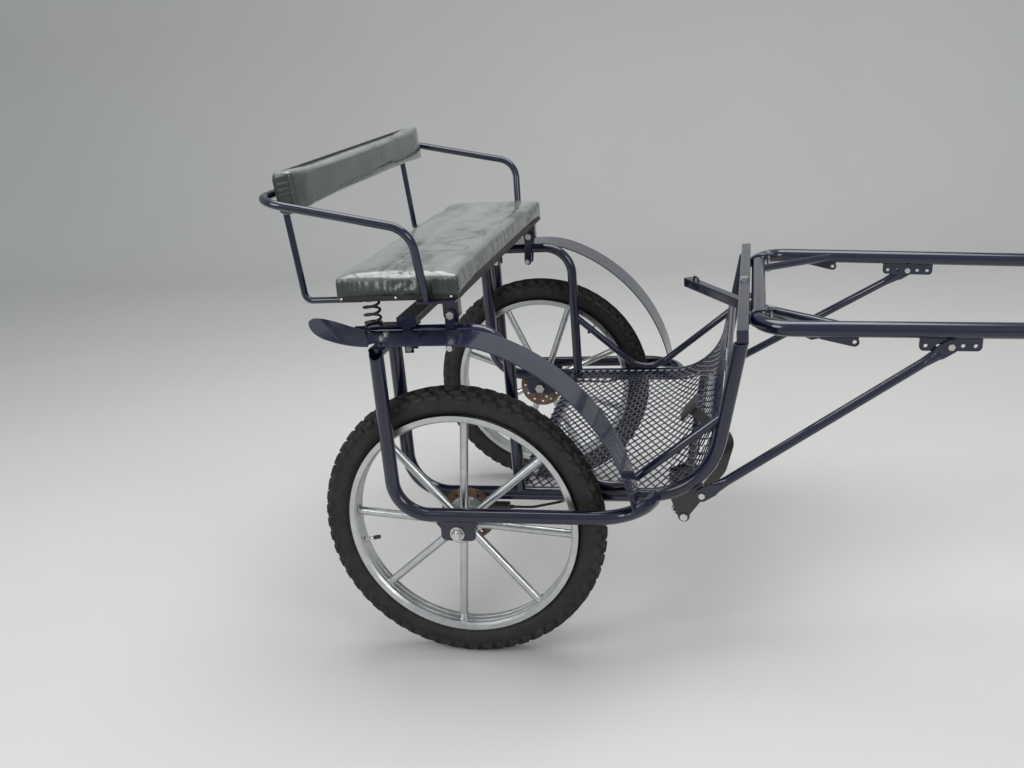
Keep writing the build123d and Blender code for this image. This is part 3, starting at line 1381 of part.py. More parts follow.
# Master cylinder: a block clamped between the cheeks, a long barrel and two side unions
port_reach = 148.0
port_length = 6.0
port = pull_pin + pull_along * port_reach
with BuildPart() as master_cylinder:
    with BuildSketch(pull_plane(cylinder_start - 4)):
        Circle(cylinder_diameter / 2)
    extrude(amount=cylinder_end - cylinder_start + 4)
    with BuildSketch(side_plane(pedal_y)):
        with BuildLine():
            corners = [
                pull_pin + pull_along * reach + pull_up * up
                for reach, up in (
                    (block_reach[0], block_up[0]), (block_reach[1], block_up[0]),
                    (block_reach[1], block_up[1]), (block_reach[0], block_up[1]),
                )
            ]
            Polyline(*[(corner.X, corner.Z) for corner in corners], close=True)
        make_face()
        for hole in block_bolts:
            with Locations((hole.X, hole.Z)):
                Circle(block_bolt / 2, mode=Mode.SUBTRACT)
    extrude(amount=cheek_gap_half, both=True)
    with BuildSketch(pull_plane(cylinder_end)):
        RegularPolygon(cylinder_diameter / 2 - 1, 6)
    extrude(amount=8)
    with BuildSketch(Plane(origin=port, x_dir=(1, 0, 0), z_dir=(0, 1, 0))):
        Circle(line_diameter / 2 + 2)
    extrude(amount=cylinder_diameter / 2 + port_length, both=True)
    with BuildSketch(pull_plane(block_reach[0] - 1)):
        Circle(piston_diameter / 2 + running)
    extrude(amount=port_reach - block_reach[0] - 12, mode=Mode.SUBTRACT)
save("master_cylinder", master_cylinder.part)

# Pushrod: a fork over the pull pin, a rod and the piston that it drives
fork_inner = lever_thickness / 2 + touch
fork_outer = fork_inner + 3
piston_reach = (62.0, 78.0)
with BuildPart() as pushrod:
    with BuildSketch(side_plane(pedal_y)) as fork_face:
        with BuildLine():
            corners = [
                pull_pin + pull_along * reach + pull_up * up
                for reach, up in ((0, -7), (20, -7), (20, 7), (0, 7))
            ]
            Polyline(*[(corner.X, corner.Z) for corner in corners], close=True)
        make_face()
        with Locations((pull_pin.X, pull_pin.Z)):
            Circle(8)
            Circle(pedal_pin / 2 + touch, mode=Mode.SUBTRACT)
    extrude(amount=fork_outer, both=True)
    with BuildSketch(side_plane(pedal_y)):
        with BuildLine():
            corners = [
                pull_pin + pull_along * reach + pull_up * up
                for reach, up in ((-12, -12), (13, -12), (13, 12), (-12, 12))
            ]
            Polyline(*[(corner.X, corner.Z) for corner in corners], close=True)
        make_face()
    extrude(amount=fork_inner, both=True, mode=Mode.SUBTRACT)
    with BuildSketch(pull_plane(18)):
        Circle(rod_diameter / 2)
    extrude(amount=piston_reach[0] - 18)
    with BuildSketch(pull_plane(piston_reach[0])):
        Circle(piston_diameter / 2)
    extrude(amount=piston_reach[1] - piston_reach[0])
save("pushrod", pushrod.part)

# Calipers: two jaws either side of each disc, joined in front of it
disc_inner_y = wheel_plane - disc_inset - disc_thickness
disc_outer_y = wheel_plane - disc_inset
jaw_inner_y = disc_inner_y - caliper_gap - caliper_jaw
jaw_outer_y = disc_outer_y + caliper_gap + caliper_jaw
caliper_port_x = caliper_front_x + 8
caliper_port_y = jaw_inner_y + caliper_jaw / 2
caliper_port_z = (caliper_low_z + caliper_top_z) / 2
with BuildPart() as brake_calipers:
    for side in SIDES.values():
        low_y = min(side * jaw_inner_y, side * jaw_outer_y)
        with BuildSketch(side_plane(low_y)) as jaw_face:
            with Locations((axle_x + (caliper_rear_x + caliper_front_x) / 2, caliper_port_z)):
                RectangleRounded(caliper_front_x - caliper_rear_x, caliper_top_z - caliper_low_z, 5)
        extrude(amount=jaw_inner_y - jaw_outer_y)
        with BuildSketch(side_plane(side * (disc_inner_y + disc_thickness / 2))):
            with Locations((axle_x, axle_z)):
                Circle(disc_diameter / 2 + 3)
        extrude(amount=disc_thickness / 2 + caliper_gap, both=True, mode=Mode.SUBTRACT)
        ear_low = side * (side_frame_y + axle_plate / 2)
        with BuildSketch(Plane(origin=(0, ear_low, 0), x_dir=(side, 0, 0), z_dir=(0, side, 0))):
            with Locations((side * (axle_x + (caliper_bolt_x + caliper_rear_x) / 2 + 2), -caliper_bolt_z)):
                Rectangle(caliper_rear_x - caliper_bolt_x + 18, 18)
            with Locations((side * (axle_x + caliper_bolt_x), -caliper_bolt_z)):
                Circle(caliper_bolt / 2, mode=Mode.SUBTRACT)
        extrude(amount=jaw_inner_y - side_frame_y - axle_plate / 2)
        with BuildSketch(Plane.YZ.offset(axle_x + caliper_front_x - 3)):
            with Locations((side * caliper_port_y, caliper_port_z)):
                Circle(line_diameter / 2 + 1.5)
        extrude(amount=caliper_port_x - caliper_front_x + 3)
save("brake_calipers", brake_calipers.part)

# Brake lines: along the underside of each floor rail; the left one crosses below the crossbar
line_radius = line_diameter / 2
hug = (frame_radius + line_radius + touch) / sqrt(2)
line_y = side_frame_y - hug
line_z = floor_z - hug
hug_radius = dash_bend + hug
right_turn = 43.0
left_turn = 35.0
right_corner = bend_point(hug_radius / cos(radians(right_turn / 2)), right_turn / 2)
right_leave = bend_point(hug_radius, right_turn)
leave_run = 26.0
right_top = (right_leave[0] + leave_run * cos(radians(right_turn)),
             right_leave[1] + leave_run * sin(radians(right_turn)))
left_corner = bend_point(hug_radius / cos(radians(left_turn / 2)), left_turn / 2)
cross_run = bend_point(hug_radius, front_cross_angle)
port_edge = cylinder_diameter / 2 + port_length


def caliper_run(side):
    """The rear end of a brake line, from the rail's underside to the caliper."""
    return [
        at(line_drop_x, side * line_y, line_z),
        at(line_turn_x, side * (line_y + line_diameter), line_z - 11),
        at(line_low_x, side * caliper_port_y, caliper_port_z),
        at(caliper_port_x, side * caliper_port_y, caliper_port_z),
    ]


lines = {
    "right": [
        (port.X, pedal_y - port_edge, port.Z),
        (port.X, pedal_y - port_edge - 30, port.Z),
        at(right_top[0], -line_y, right_top[1]),
        at(right_corner[0], -line_y, right_corner[1]),
    ] + caliper_run(-1),
    "left": [
        (port.X, pedal_y + port_edge, port.Z),
        (port.X, pedal_y + port_edge + 30, port.Z),
        at(cross_run[0], pedal_y + port_edge + 70, cross_run[1]),
        at(cross_run[0], line_y, cross_run[1]),
        at(left_corner[0], line_y, left_corner[1]),
    ] + caliper_run(1),
}
line_bends = {
    "right": [60.0, 22.0, hug_radius, 20.0, 40.0, 60.0],
    "left": [30.0, 30.0, 22.0, 100.0, 20.0, 40.0, 60.0],
}
for name in SIDES:
    brake_line = round_bar(lines[name], line_bends[name], line_radius)
    save("brake_line_" + name, brake_line)
    print("brake line", name, "bend radii in mm:", line_bends[name])

# Line clips: a band round the line, welded to the tube beside it
clip_radius = line_radius + 1.6
clip_width = 10.0
with BuildPart() as line_clips:
    for side in SIDES.values():
        for x in floor_clip_x:
            with BuildSketch(Plane.YZ.offset(axle_x + x - clip_width / 2)):
                with Locations((side * line_y, line_z)):
                    Circle(clip_radius)
                    Circle(line_radius, mode=Mode.SUBTRACT)
            extrude(amount=clip_width)
    for y in cross_clip_y:
        with BuildSketch(side_plane(y)):
            with Locations((axle_x + cross_run[0], cross_run[1])):
                Circle(clip_radius)
            with BuildLine():
                Line((axle_x + cross_run[0], cross_run[1]), (axle_x + front_cross[0], front_cross[1]))
            trace(line_width=6)
            with Locations((axle_x + cross_run[0], cross_run[1])):
                Circle(line_radius, mode=Mode.SUBTRACT)
        extrude(amount=clip_width)
    for name in SIDES:
        add(side_skin[name], mode=Mode.SUBTRACT)
    add(front_cross_skin, mode=Mode.SUBTRACT)
save("line_clips", line_clips.part)

# Frame bolts: strut, clamp, fender, brake and singletree bolts
with BuildPart() as frame_bolts:
    for name, side in SIDES.items():
        low, high = strut_ends[name]
        grip = strut_plate + touch + strut_flat
        back_off = Vector(0, side * -(strut_plate + touch) / 2, 0)
        add(bolt(low + back_off, (0, side, 0), grip, strut_bolt))
        outward = shaft_plane(strut_plate_reach, side).z_dir * -side
        add(bolt(high - outward * ((strut_plate + touch) / 2), outward, grip, strut_bolt))
        add(bolt(at(strap_bolt_x, side * strap_y, crossbar_z), (0, 0, 1),
                 shaft_tube + 2 * strap_thickness, clamp_bolt))
        # The fender is bolted through the crown and through the lug of the front bend.
        with BuildSketch(Plane.XY.offset(fender_z + fender_thickness / 2)):
            with Locations((axle_x + leg_x, side * fender_y), (axle_x + leg_x, side * (fender_y - 30))):
                RegularPolygon(6.5, 6)
        extrude(amount=5)
        add(bolt(at(caliper_bolt_x, side * (side_frame_y - axle_plate / 2 + jaw_inner_y) / 2, caliper_bolt_z),
                 (0, side, 0), jaw_inner_y - side_frame_y + axle_plate / 2, caliper_bolt))
    add(bolt(pedal_pivot, (0, -1, 0), 2 * (cheek_gap_half + bracket_plate), pedal_pin))
    for hole in block_bolts:
        add(bolt(hole, (0, -1, 0), 2 * (cheek_gap_half + bracket_plate), block_bolt))
    pin_top = dash_top_z
    pin_low = bracket_low_z
    add(bolt(at(dash_bar_x, 0, (pin_top + pin_low) / 2), (0, 0, 1), pin_top - pin_low, tree_pin))
save("frame_bolts", frame_bolts.part)
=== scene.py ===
import json
import math

import bmesh
import bpy
import numpy as np
from mathutils import Matrix, Vector

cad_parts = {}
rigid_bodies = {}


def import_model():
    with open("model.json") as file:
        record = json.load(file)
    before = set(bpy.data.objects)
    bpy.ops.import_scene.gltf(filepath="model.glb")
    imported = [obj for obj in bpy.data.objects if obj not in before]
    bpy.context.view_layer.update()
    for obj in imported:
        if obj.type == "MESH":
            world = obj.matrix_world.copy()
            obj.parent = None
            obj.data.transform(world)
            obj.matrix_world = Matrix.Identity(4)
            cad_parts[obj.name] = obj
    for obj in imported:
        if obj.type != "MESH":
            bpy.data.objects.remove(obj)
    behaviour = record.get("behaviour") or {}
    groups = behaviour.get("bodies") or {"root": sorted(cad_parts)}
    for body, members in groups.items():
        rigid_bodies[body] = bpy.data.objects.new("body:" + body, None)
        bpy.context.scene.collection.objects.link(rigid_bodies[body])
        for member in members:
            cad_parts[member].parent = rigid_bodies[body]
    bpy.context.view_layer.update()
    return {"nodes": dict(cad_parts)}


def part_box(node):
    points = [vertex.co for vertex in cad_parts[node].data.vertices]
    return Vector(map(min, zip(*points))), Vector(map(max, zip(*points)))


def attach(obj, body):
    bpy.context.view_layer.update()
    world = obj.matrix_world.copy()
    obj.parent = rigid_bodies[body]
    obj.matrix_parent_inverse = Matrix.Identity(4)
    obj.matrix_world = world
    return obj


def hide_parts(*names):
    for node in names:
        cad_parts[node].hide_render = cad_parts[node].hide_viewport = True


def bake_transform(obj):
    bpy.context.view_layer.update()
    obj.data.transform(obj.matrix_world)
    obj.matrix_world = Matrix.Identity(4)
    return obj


# A two-wheeled horse cart in navy paint, with galvanised wheels, knobbly tyres, an
# expanded-metal floor and a bench in dark vinyl under a tight clear cover.
# Metres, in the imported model's frame: +X forward, +Z up, the ground at Z = 0.

for leftover in list(bpy.data.objects):
    bpy.data.objects.remove(leftover)
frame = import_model()
nodes = frame["nodes"]

# Places of the cart, from the axle line
axle_x = -0.89375
axle_z = 0.330
wheel_y = 0.500
floor_z = 0.374
dash_corner_x = 0.547
dash_bend = 0.170
dash_lean = math.radians(12.4)
mesh_offset = 0.014
sides = {"right": -1.0, "left": 1.0}


# ---- shapes -------------------------------------------------------------------------

def mesh_piece(name, points, faces, smooth=True):
    """A mesh object at the origin from whole arrays of points and faces."""
    mesh = bpy.data.meshes.new(name)
    mesh.from_pydata([tuple(p) for p in np.asarray(points, float)], [], np.asarray(faces).tolist())
    mesh.validate()
    mesh.update()
    mesh.polygons.foreach_set("use_smooth", np.full(len(mesh.polygons), smooth))
    piece = bpy.data.objects.new(name, mesh)
    bpy.context.scene.collection.objects.link(piece)
    return piece


def grid_faces(rows, columns, wrap_rows=False, wrap_columns=False, flip=False):
    """The quads of a grid whose points are numbered row by row; either way may close on itself."""
    i = np.arange(rows if wrap_rows else rows - 1)
    j = np.arange(columns if wrap_columns else columns - 1)
    i, j = np.meshgrid(i, j, indexing="ij")
    k, m = (i + 1) % rows, (j + 1) % columns
    quads = np.stack([i * columns + j, i * columns + m, k * columns + m, k * columns + j], -1).reshape(-1, 4)
    return quads[:, ::-1] if flip else quads


def point_outwards(piece):
    """Merges doubles and turns every face of a closed shell outwards."""
    shell = bmesh.new()
    shell.from_mesh(piece.data)
    bmesh.ops.remove_doubles(shell, verts=shell.verts, dist=1e-6)
    bmesh.ops.recalc_face_normals(shell, faces=shell.faces)
    shell.to_mesh(piece.data)
    shell.free()
    return piece


def smooth_step(value, low, high):
    """0 below low, 1 above high, and a cubic ease between them."""
    t = np.clip((value - low) / (high - low), 0.0, 1.0)
    return t * t * (3.0 - 2.0 * t)


# ---- materials ----------------------------------------------------------------------

def shader(name, **constants):
    """A material whose Principled shader has these constants on its own sockets."""
    material = bpy.data.materials.new(name)
    material.use_nodes = True
    tree = material.node_tree
    surface = tree.nodes["Principled BSDF"]
    for key, value in constants.items():
        surface.inputs[key.replace("_", " ")].default_value = value
    return material, tree, surface


def coords(tree, scale=(1, 1, 1), turn=(0, 0, 0), place=(0, 0, 0)):
    """Object coordinates through a Mapping node."""
    where = tree.nodes.new("ShaderNodeTexCoord")
    mapping = tree.nodes.new("ShaderNodeMapping")
    mapping.inputs["Scale"].default_value = scale
    mapping.inputs["Rotation"].default_value = turn
    mapping.inputs["Location"].default_value = place
    tree.links.new(where.outputs["Object"], mapping.inputs["Vector"])
    return mapping.outputs["Vector"]


def noise(tree, vector, scale, detail=4.0, roughness=0.55, distortion=0.0):
    texture = tree.nodes.new("ShaderNodeTexNoise")
    texture.inputs["Scale"].default_value = scale
    texture.inputs["Detail"].default_value = detail
    texture.inputs["Roughness"].default_value = roughness
    texture.inputs["Distortion"].default_value = distortion
    tree.links.new(vector, texture.inputs["Vector"])
    return texture.outputs["Fac"]


def cells(tree, vector, scale, feature="F1"):
    texture = tree.nodes.new("ShaderNodeTexVoronoi")
    texture.feature = feature
    texture.inputs["Scale"].default_value = scale
    tree.links.new(vector, texture.inputs["Vector"])
    return texture.outputs["Distance"]


def ramp(tree, value, *stops):
    """A colour ramp with stops of (place, colour or grey)."""
    node = tree.nodes.new("ShaderNodeValToRGB")
    elements = node.color_ramp.elements
    while len(elements) < len(stops):
        elements.new(0.5)
    for element, (place, colour) in zip(elements, stops):
        element.position = place
        element.color = (*colour, 1.0) if isinstance(colour, tuple) else (colour, colour, colour, 1.0)
    tree.links.new(value, node.inputs["Fac"])
    return node.outputs["Color"]


def blend_colours(tree, factor, first, second, mode="MIX"):
    node = tree.nodes.new("ShaderNodeMix")
    node.data_type = "RGBA"
    node.blend_type = mode
    for value, socket in ((factor, node.inputs[0]), (first, node.inputs[6]), (second, node.inputs[7])):
        if isinstance(value, (int, float)):
            socket.default_value = value
        elif isinstance(value, tuple):
            socket.default_value = (*value, 1.0)
        else:
            tree.links.new(value, socket)
    return node.outputs[2]


def maths(tree, operation, first, second):
    node = tree.nodes.new("ShaderNodeMath")
    node.operation = operation
    for value, socket in ((first, node.inputs[0]), (second, node.inputs[1])):
        if isinstance(value, (int, float)):
            socket.default_value = value
        else:
            tree.links.new(value, socket)
    return node.outputs[0]


def bump(tree, surface, *layers):
    """Height layers of (value, distance in metres, strength), laid one on another."""
    below = None
    for value, distance, strength in layers:
        node = tree.nodes.new("ShaderNodeBump")
        node.inputs["Distance"].default_value = distance
        node.inputs["Strength"].default_value = strength
        tree.links.new(value, node.inputs["Height"])
        if below is not None:
            tree.links.new(below, node.inputs["Normal"])
        below = node.outputs["Normal"]
    tree.links.new(below, surface.inputs["Normal"])
    return below


def facing_up(tree):
    """1 where the surface faces the sky, 0 where it faces the ground."""
    geometry = tree.nodes.new("ShaderNodeNewGeometry")
    split = tree.nodes.new("ShaderNodeSeparateXYZ")
    tree.links.new(geometry.outputs["Normal"], split.inputs[0])
    return ramp(tree, split.outputs["Z"], (0.35, 0.0), (1.0, 1.0))


def gloss_paint(name, colour, dusty, roughness):
    """Sprayed enamel on tube: orange peel, small colour drift, dust on top and dull scuffs."""
    material, tree, surface = shader(name, Metallic=0.0, IOR=1.5, Coat_Weight=0.5, Coat_Roughness=0.06)
    place = coords(tree)
    drift = ramp(tree, noise(tree, place, 9.0, 3.0),
                 (0.3, tuple(c * 0.8 for c in colour)), (0.7, tuple(min(c * 1.25, 1.0) for c in colour)))
    dust = maths(tree, "MULTIPLY", facing_up(tree), ramp(tree, noise(tree, place, 22.0, 6.0, 0.65), (0.35, 0.0), (0.75, dusty)))
    tinted = blend_colours(tree, dust, drift, (0.15, 0.15, 0.15))
    specks = ramp(tree, cells(tree, coords(tree, (1, 1, 1), (0.4, 0.2, 0.1)), 90.0), (0.03, 1.0), (0.06, 0.0))
    worn = maths(tree, "MULTIPLY", specks, ramp(tree, noise(tree, place, 14.0, 2.0), (0.66, 0.0), (0.74, 0.5)))
    tree.links.new(blend_colours(tree, worn, tinted, (0.22, 0.23, 0.27)), surface.inputs["Base Color"])
    tree.links.new(ramp(tree, noise(tree, place, 30.0, 5.0), (0.3, roughness), (0.8, roughness + 0.14)), surface.inputs["Roughness"])
    bump(tree, surface, (noise(tree, place, 260.0, 2.0), 0.0002, 0.10), (noise(tree, place, 25.0, 2.0), 0.0010, 0.06))
    return material


def galvanised(name, colour, roughness, streak=1.0):
    """Zinc-coated steel: soft spangle, dull patches and fine drag marks."""
    material, tree, surface = shader(name, Metallic=1.0)
    place = coords(tree)
    spangle = ramp(tree, cells(tree, place, 55.0), (0.0, tuple(c * 0.86 for c in colour)), (0.7, colour))
    dull = ramp(tree, noise(tree, place, 12.0, 5.0), (0.35, 0.0), (0.75, 0.55))
    tree.links.new(blend_colours(tree, dull, spangle, tuple(c * 0.72 for c in colour)), surface.inputs["Base Color"])
    tree.links.new(ramp(tree, noise(tree, place, 40.0, 6.0), (0.3, roughness), (0.75, roughness + 0.2)), surface.inputs["Roughness"])
    bump(tree, surface, (noise(tree, place, 180.0, 3.0), 0.0003, 0.18 * streak), (noise(tree, place, 30.0, 2.0), 0.0010, 0.12))
    return material


def tyre_rubber():
    """Black rubber gone grey-brown with dried mud between and on the blocks."""
    material, tree, surface = shader("tyre_rubber", Metallic=0.0, IOR=1.48)
    place = coords(tree)
    rubber = ramp(tree, noise(tree, place, 60.0, 4.0), (0.3, (0.0075, 0.0080, 0.0070)), (0.75, (0.0170, 0.0170, 0.0150)))
    mud = ramp(tree, noise(tree, place, 16.0, 7.0, 0.7), (0.50, 0.0), (0.70, 0.50))
    band = tree.nodes.new("ShaderNodeAttribute")
    band.attribute_name = "tread"
    mud = maths(tree, "MULTIPLY", mud, band.outputs["Fac"])
    tree.links.new(blend_colours(tree, mud, rubber, (0.060, 0.038, 0.028)), surface.inputs["Base Color"])
    tree.links.new(ramp(tree, noise(tree, place, 45.0, 5.0), (0.3, 0.55), (0.8, 0.85)), surface.inputs["Roughness"])
    bump(tree, surface, (noise(tree, place, 420.0, 3.0), 0.0004, 0.3))
    return material


def rusty_steel():
    """Bare disc steel under brown rust, with a scoured lighter band."""
    material, tree, surface = shader("rusty_steel", Metallic=0.35)
    place = coords(tree)
    rust = ramp(tree, noise(tree, place, 70.0, 8.0, 0.7),
                (0.30, (0.075, 0.042, 0.030)), (0.50, (0.160, 0.095, 0.066)), (0.72, (0.240, 0.165, 0.125)))
    grey = ramp(tree, noise(tree, place, 24.0, 5.0), (0.55, 0.0), (0.72, 0.55))
    tree.links.new(blend_colours(tree, grey, rust, (0.30, 0.28, 0.26)), surface.inputs["Base Color"])
    tree.links.new(ramp(tree, noise(tree, place, 50.0, 4.0), (0.3, 0.55), (0.8, 0.85)), surface.inputs["Roughness"])
    bump(tree, surface, (noise(tree, place, 300.0, 6.0), 0.0005, 0.5))
    return material


def covered_vinyl():
    """Dark vinyl with a leather grain, seen through a tight clear cover that ripples; its top is painted lighter grey
    in streaks, a painted reflection of the bright room in the cover.
    """
    material, tree, surface = shader("covered_vinyl", Metallic=0.0, IOR=1.5, Coat_Weight=1.0, Coat_Roughness=0.05, Coat_IOR=1.6)
    place = coords(tree)
    base = ramp(tree, noise(tree, place, 7.0, 4.0), (0.3, (0.018, 0.026, 0.022)), (0.7, (0.032, 0.042, 0.037)))
    # Painted reflection: faces that look up are mixed towards light grey in long streaks, standing in for the bright
    # surroundings mirrored in the clear cover.
    streaks = noise(tree, coords(tree, (2.2, 0.55, 1.0), (0, 0, 0.35)), 5.0, 4.0, 0.55, 1.2)
    reflection_streaks = ramp(tree, streaks, (0.34, 0.12), (0.47, 0.55), (0.70, 0.80))
    painted_top_reflection = maths(tree, "MULTIPLY", facing_up(tree), reflection_streaks)
    tree.links.new(blend_colours(tree, painted_top_reflection, base, (0.33, 0.36, 0.35)), surface.inputs["Base Color"])
    surface.inputs["Roughness"].default_value = 0.42
    # The ends see less light through the gathered cover than the top and the faces.
    geometry = tree.nodes.new("ShaderNodeNewGeometry")
    split = tree.nodes.new("ShaderNodeSeparateXYZ")
    tree.links.new(geometry.outputs["Normal"], split.inputs[0])
    endwise = maths(tree, "ABSOLUTE", split.outputs["Y"], 0.0)
    tree.links.new(ramp(tree, endwise, (0.4, 1.0), (0.9, 0.30)), surface.inputs["Coat Weight"])
    grain = cells(tree, place, 700.0)
    ripple = noise(tree, coords(tree, (1.0, 0.30, 1.0)), 11.0, 3.0, 0.5, 0.8)
    crease = ramp(tree, noise(tree, coords(tree, (0.5, 1.0, 1.0), (0, 0, 0.5)), 14.0, 2.0, 0.5, 1.6), (0.47, 0.0), (0.50, 1.0), (0.53, 0.0))
    bump(tree, surface, (grain, 0.0003, 0.2), (ripple, 0.004, 0.25))
    over = tree.nodes.new("ShaderNodeBump")
    over.inputs["Distance"].default_value = 0.003
    over.inputs["Strength"].default_value = 0.30
    tree.links.new(maths(tree, "ADD", ripple, maths(tree, "MULTIPLY", crease, 0.35)), over.inputs["Height"])
    tree.links.new(over.outputs["Normal"], surface.inputs["Coat Normal"])
    return material


def dull_black(name, colour, roughness, grain):
    """Black rubber, plastic or wood stain: a little mottled, with its own fine grain."""
    material, tree, surface = shader(name, Metallic=0.0)
    place = coords(tree)
    tree.links.new(ramp(tree, noise(tree, place, 35.0, 5.0), (0.3, tuple(c * 0.7 for c in colour)), (0.75, tuple(c * 1.5 for c in colour))), surface.inputs["Base Color"])
    tree.links.new(ramp(tree, noise(tree, place, 60.0, 4.0), (0.3, roughness), (0.8, min(roughness + 0.2, 1.0))), surface.inputs["Roughness"])
    bump(tree, surface, (noise(tree, place, grain, 3.0), 0.0003, 0.3))
    return material


navy = gloss_paint("navy_enamel", (0.0050, 0.0058, 0.026), 0.07, 0.13)
navy_flat = gloss_paint("navy_enamel_sheet", (0.0065, 0.0075, 0.030), 0.10, 0.17)
black_enamel = gloss_paint("black_enamel", (0.012, 0.012, 0.013), 0.25, 0.28)
wheel_zinc = galvanised("wheel_zinc", (0.62, 0.63, 0.63), 0.24)
bolt_zinc = galvanised("bolt_zinc", (0.70, 0.70, 0.68), 0.20)
cylinder_steel = galvanised("cylinder_steel", (0.66, 0.66, 0.66), 0.26)
rubber = tyre_rubber()
rust = rusty_steel()
vinyl = covered_vinyl()
hose_black = dull_black("hose_black", (0.014, 0.014, 0.014), 0.45, 500.0)
cap_black = dull_black("cap_black", (0.020, 0.020, 0.020), 0.50, 300.0)
board_black = dull_black("board_black", (0.022, 0.020, 0.018), 0.55, 120.0)

finishes = {
    navy: """side_frame_right side_frame_left wheel_guard_right wheel_guard_left axle_plates seat_rails
        side_braces floor_crossbars dash_crossbar shaft_right shaft_left shaft_crossbar shaft_braces
        crossbar_clamps strut_brackets shaft_struts holdback_eyes singletree_bracket singletree trace_loops
        rail_clamps seat_crossbar seat_ears arm_rail back_struts""",
    navy_flat: "fenders floor_mesh",
    black_enamel: "brake_calipers line_clips seat_springs pedal_bracket brake_pedal",
    wheel_zinc: "rim_right rim_left spokes_right spokes_left hub_right hub_left",
    bolt_zinc: "frame_bolts rail_clamp_bolts axle_bolts disc_bolts_right disc_bolts_left bearings_right bearings_left",
    cylinder_steel: "master_cylinder pushrod",
    rust: "brake_disc_right brake_disc_left",
    rubber: "tyre_right tyre_left",
    hose_black: "inner_tube_right inner_tube_left brake_line_right brake_line_left",
    cap_black: "singletree_caps",
    board_black: "seat_board backrest_board",
    vinyl: "seat_cushion backrest_cushion",
}
for material, names in finishes.items():
    for name in names.split():
        data = nodes[name].data
        for k in range(max(1, len(data.materials))):
            if data.materials:
                data.materials[k] = material
            else:
                data.materials.append(material)


def finish_piece(piece, material, body, slot, *replaced):
    """Gives a new piece its material and the body that it rides on; its slot is not used."""
    piece.data.materials.clear()
    piece.data.materials.append(material)
    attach(piece, body)
    if replaced:
        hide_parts(*replaced)


# ---- tyres --------------------------------------------------------------------------

def knobbly_tyre(name, side):
    """A casing turned about the axle, with blocks raised on its tread.

    Two parameters: the angle round the wheel and the angle round the casing's section.
    The section is the casing's oval with flat beads; the height adds a block wherever a
    square wave of the wheel angle, set off from row to row, meets a row of blocks."""
    around, across = 1392, 68
    turn = np.linspace(0, 2 * np.pi, around, endpoint=False)[:, None]
    part = np.linspace(-1.0, 1.0, across)[None, :]
    lie = part * math.radians(158)
    # The casing: an oval about r = 0.296, a little square at the shoulders
    half, tall = 0.0272, 0.0268
    power = 0.86
    y = half * np.sign(np.sin(lie)) * np.abs(np.sin(lie)) ** power + 0 * turn
    r = 0.2960 + tall * np.sign(np.cos(lie)) * np.abs(np.cos(lie)) ** power + 0 * turn
    # Blocks: three rows and two shoulder rows, each a little turned
    pitch = 58
    height = np.zeros_like(y)
    for row, (centre, width, offset, skew, tall_block) in enumerate((
            (0.0, 0.23, 0.0, 0.0, 1.0), (0.34, 0.22, 0.5, 0.8, 1.0), (-0.34, 0.22, 0.5, -0.8, 1.0),
            (0.66, 0.24, 0.0, 0.0, 1.0), (-0.66, 0.24, 0.0, 0.0, 1.0))):
        over = lie / math.radians(90)
        inside = smooth_step(width / 2 - np.abs(over - centre), -0.015, 0.020)
        phase = (turn * pitch / (2 * np.pi) + offset + skew * (over - centre)) % 1.0
        along = smooth_step(0.345 - np.abs(phase - 0.5), -0.025, 0.035)
        height = np.maximum(height, inside * along * tall_block)
    lift = 0.0072 * height
    normal_y, normal_r = np.sin(lie) + 0 * turn, np.cos(lie) + 0 * turn
    y = y + lift * normal_y
    r = r + lift * normal_r
    # Fine mould ribs on the flank
    rib = 0.00035 * np.maximum(np.cos(turn * 360), 0) * smooth_step(np.abs(lie), 1.35, 1.5) * smooth_step(2.0 - np.abs(lie), 0.0, 0.2)
    y = y + rib * np.sign(lie)
    r = np.minimum(r, 0.330)
    x = axle_x + r * np.cos(turn)
    z = axle_z + r * np.sin(turn)
    points = np.stack([x, side * wheel_y + y, z], -1).reshape(-1, 3)
    piece = mesh_piece(name, points, grid_faces(around, across, wrap_rows=True))
    tread = smooth_step(1.75 - np.abs(lie) + 0 * turn, 0.0, 0.5).reshape(-1)
    layer = piece.data.attributes.new("tread", "FLOAT", "POINT")
    layer.data.foreach_set("value", tread.astype(np.float32))
    return piece


for label, side in sides.items():
    tyre = knobbly_tyre("tread_" + label, side)
    finish_piece(tyre, rubber, "wheel_" + label, "tyre_black", "tyre_" + label)


# ---- expanded-metal floor -----------------------------------------------------------

def floor_point(length, y, lift):
    """A point on the floor's sheet: flat, then round the bend, then up the leaning front.

    length runs along the sheet from its rear edge, lift stands off towards the driver."""
    radius = dash_bend - mesh_offset
    flat_end = dash_corner_x - dash_bend * math.tan((math.pi / 2 - dash_lean) / 2)
    start = 0.109
    flat = flat_end - start
    arc = radius * (math.pi / 2 - dash_lean)
    angle = np.clip((length - flat) / radius, 0, math.pi / 2 - dash_lean)
    past = np.maximum(length - flat - arc, 0)
    before = np.minimum(length, flat)
    x = start + before + (radius - lift) * np.sin(angle) + past * math.sin(dash_lean)
    z = floor_z + dash_bend - (radius - lift) * np.cos(angle) + past * math.cos(dash_lean)
    return np.stack([axle_x + x, y + 0 * x, z], -1)


def floor_length():
    radius = dash_bend - mesh_offset
    flat_end = dash_corner_x - dash_bend * math.tan((math.pi / 2 - dash_lean) / 2)
    arc = radius * (math.pi / 2 - dash_lean)
    top = (0.608 - floor_z - dash_bend + radius * math.cos(math.pi / 2 - dash_lean)) / math.cos(dash_lean)
    return flat_end - 0.109 + arc + top


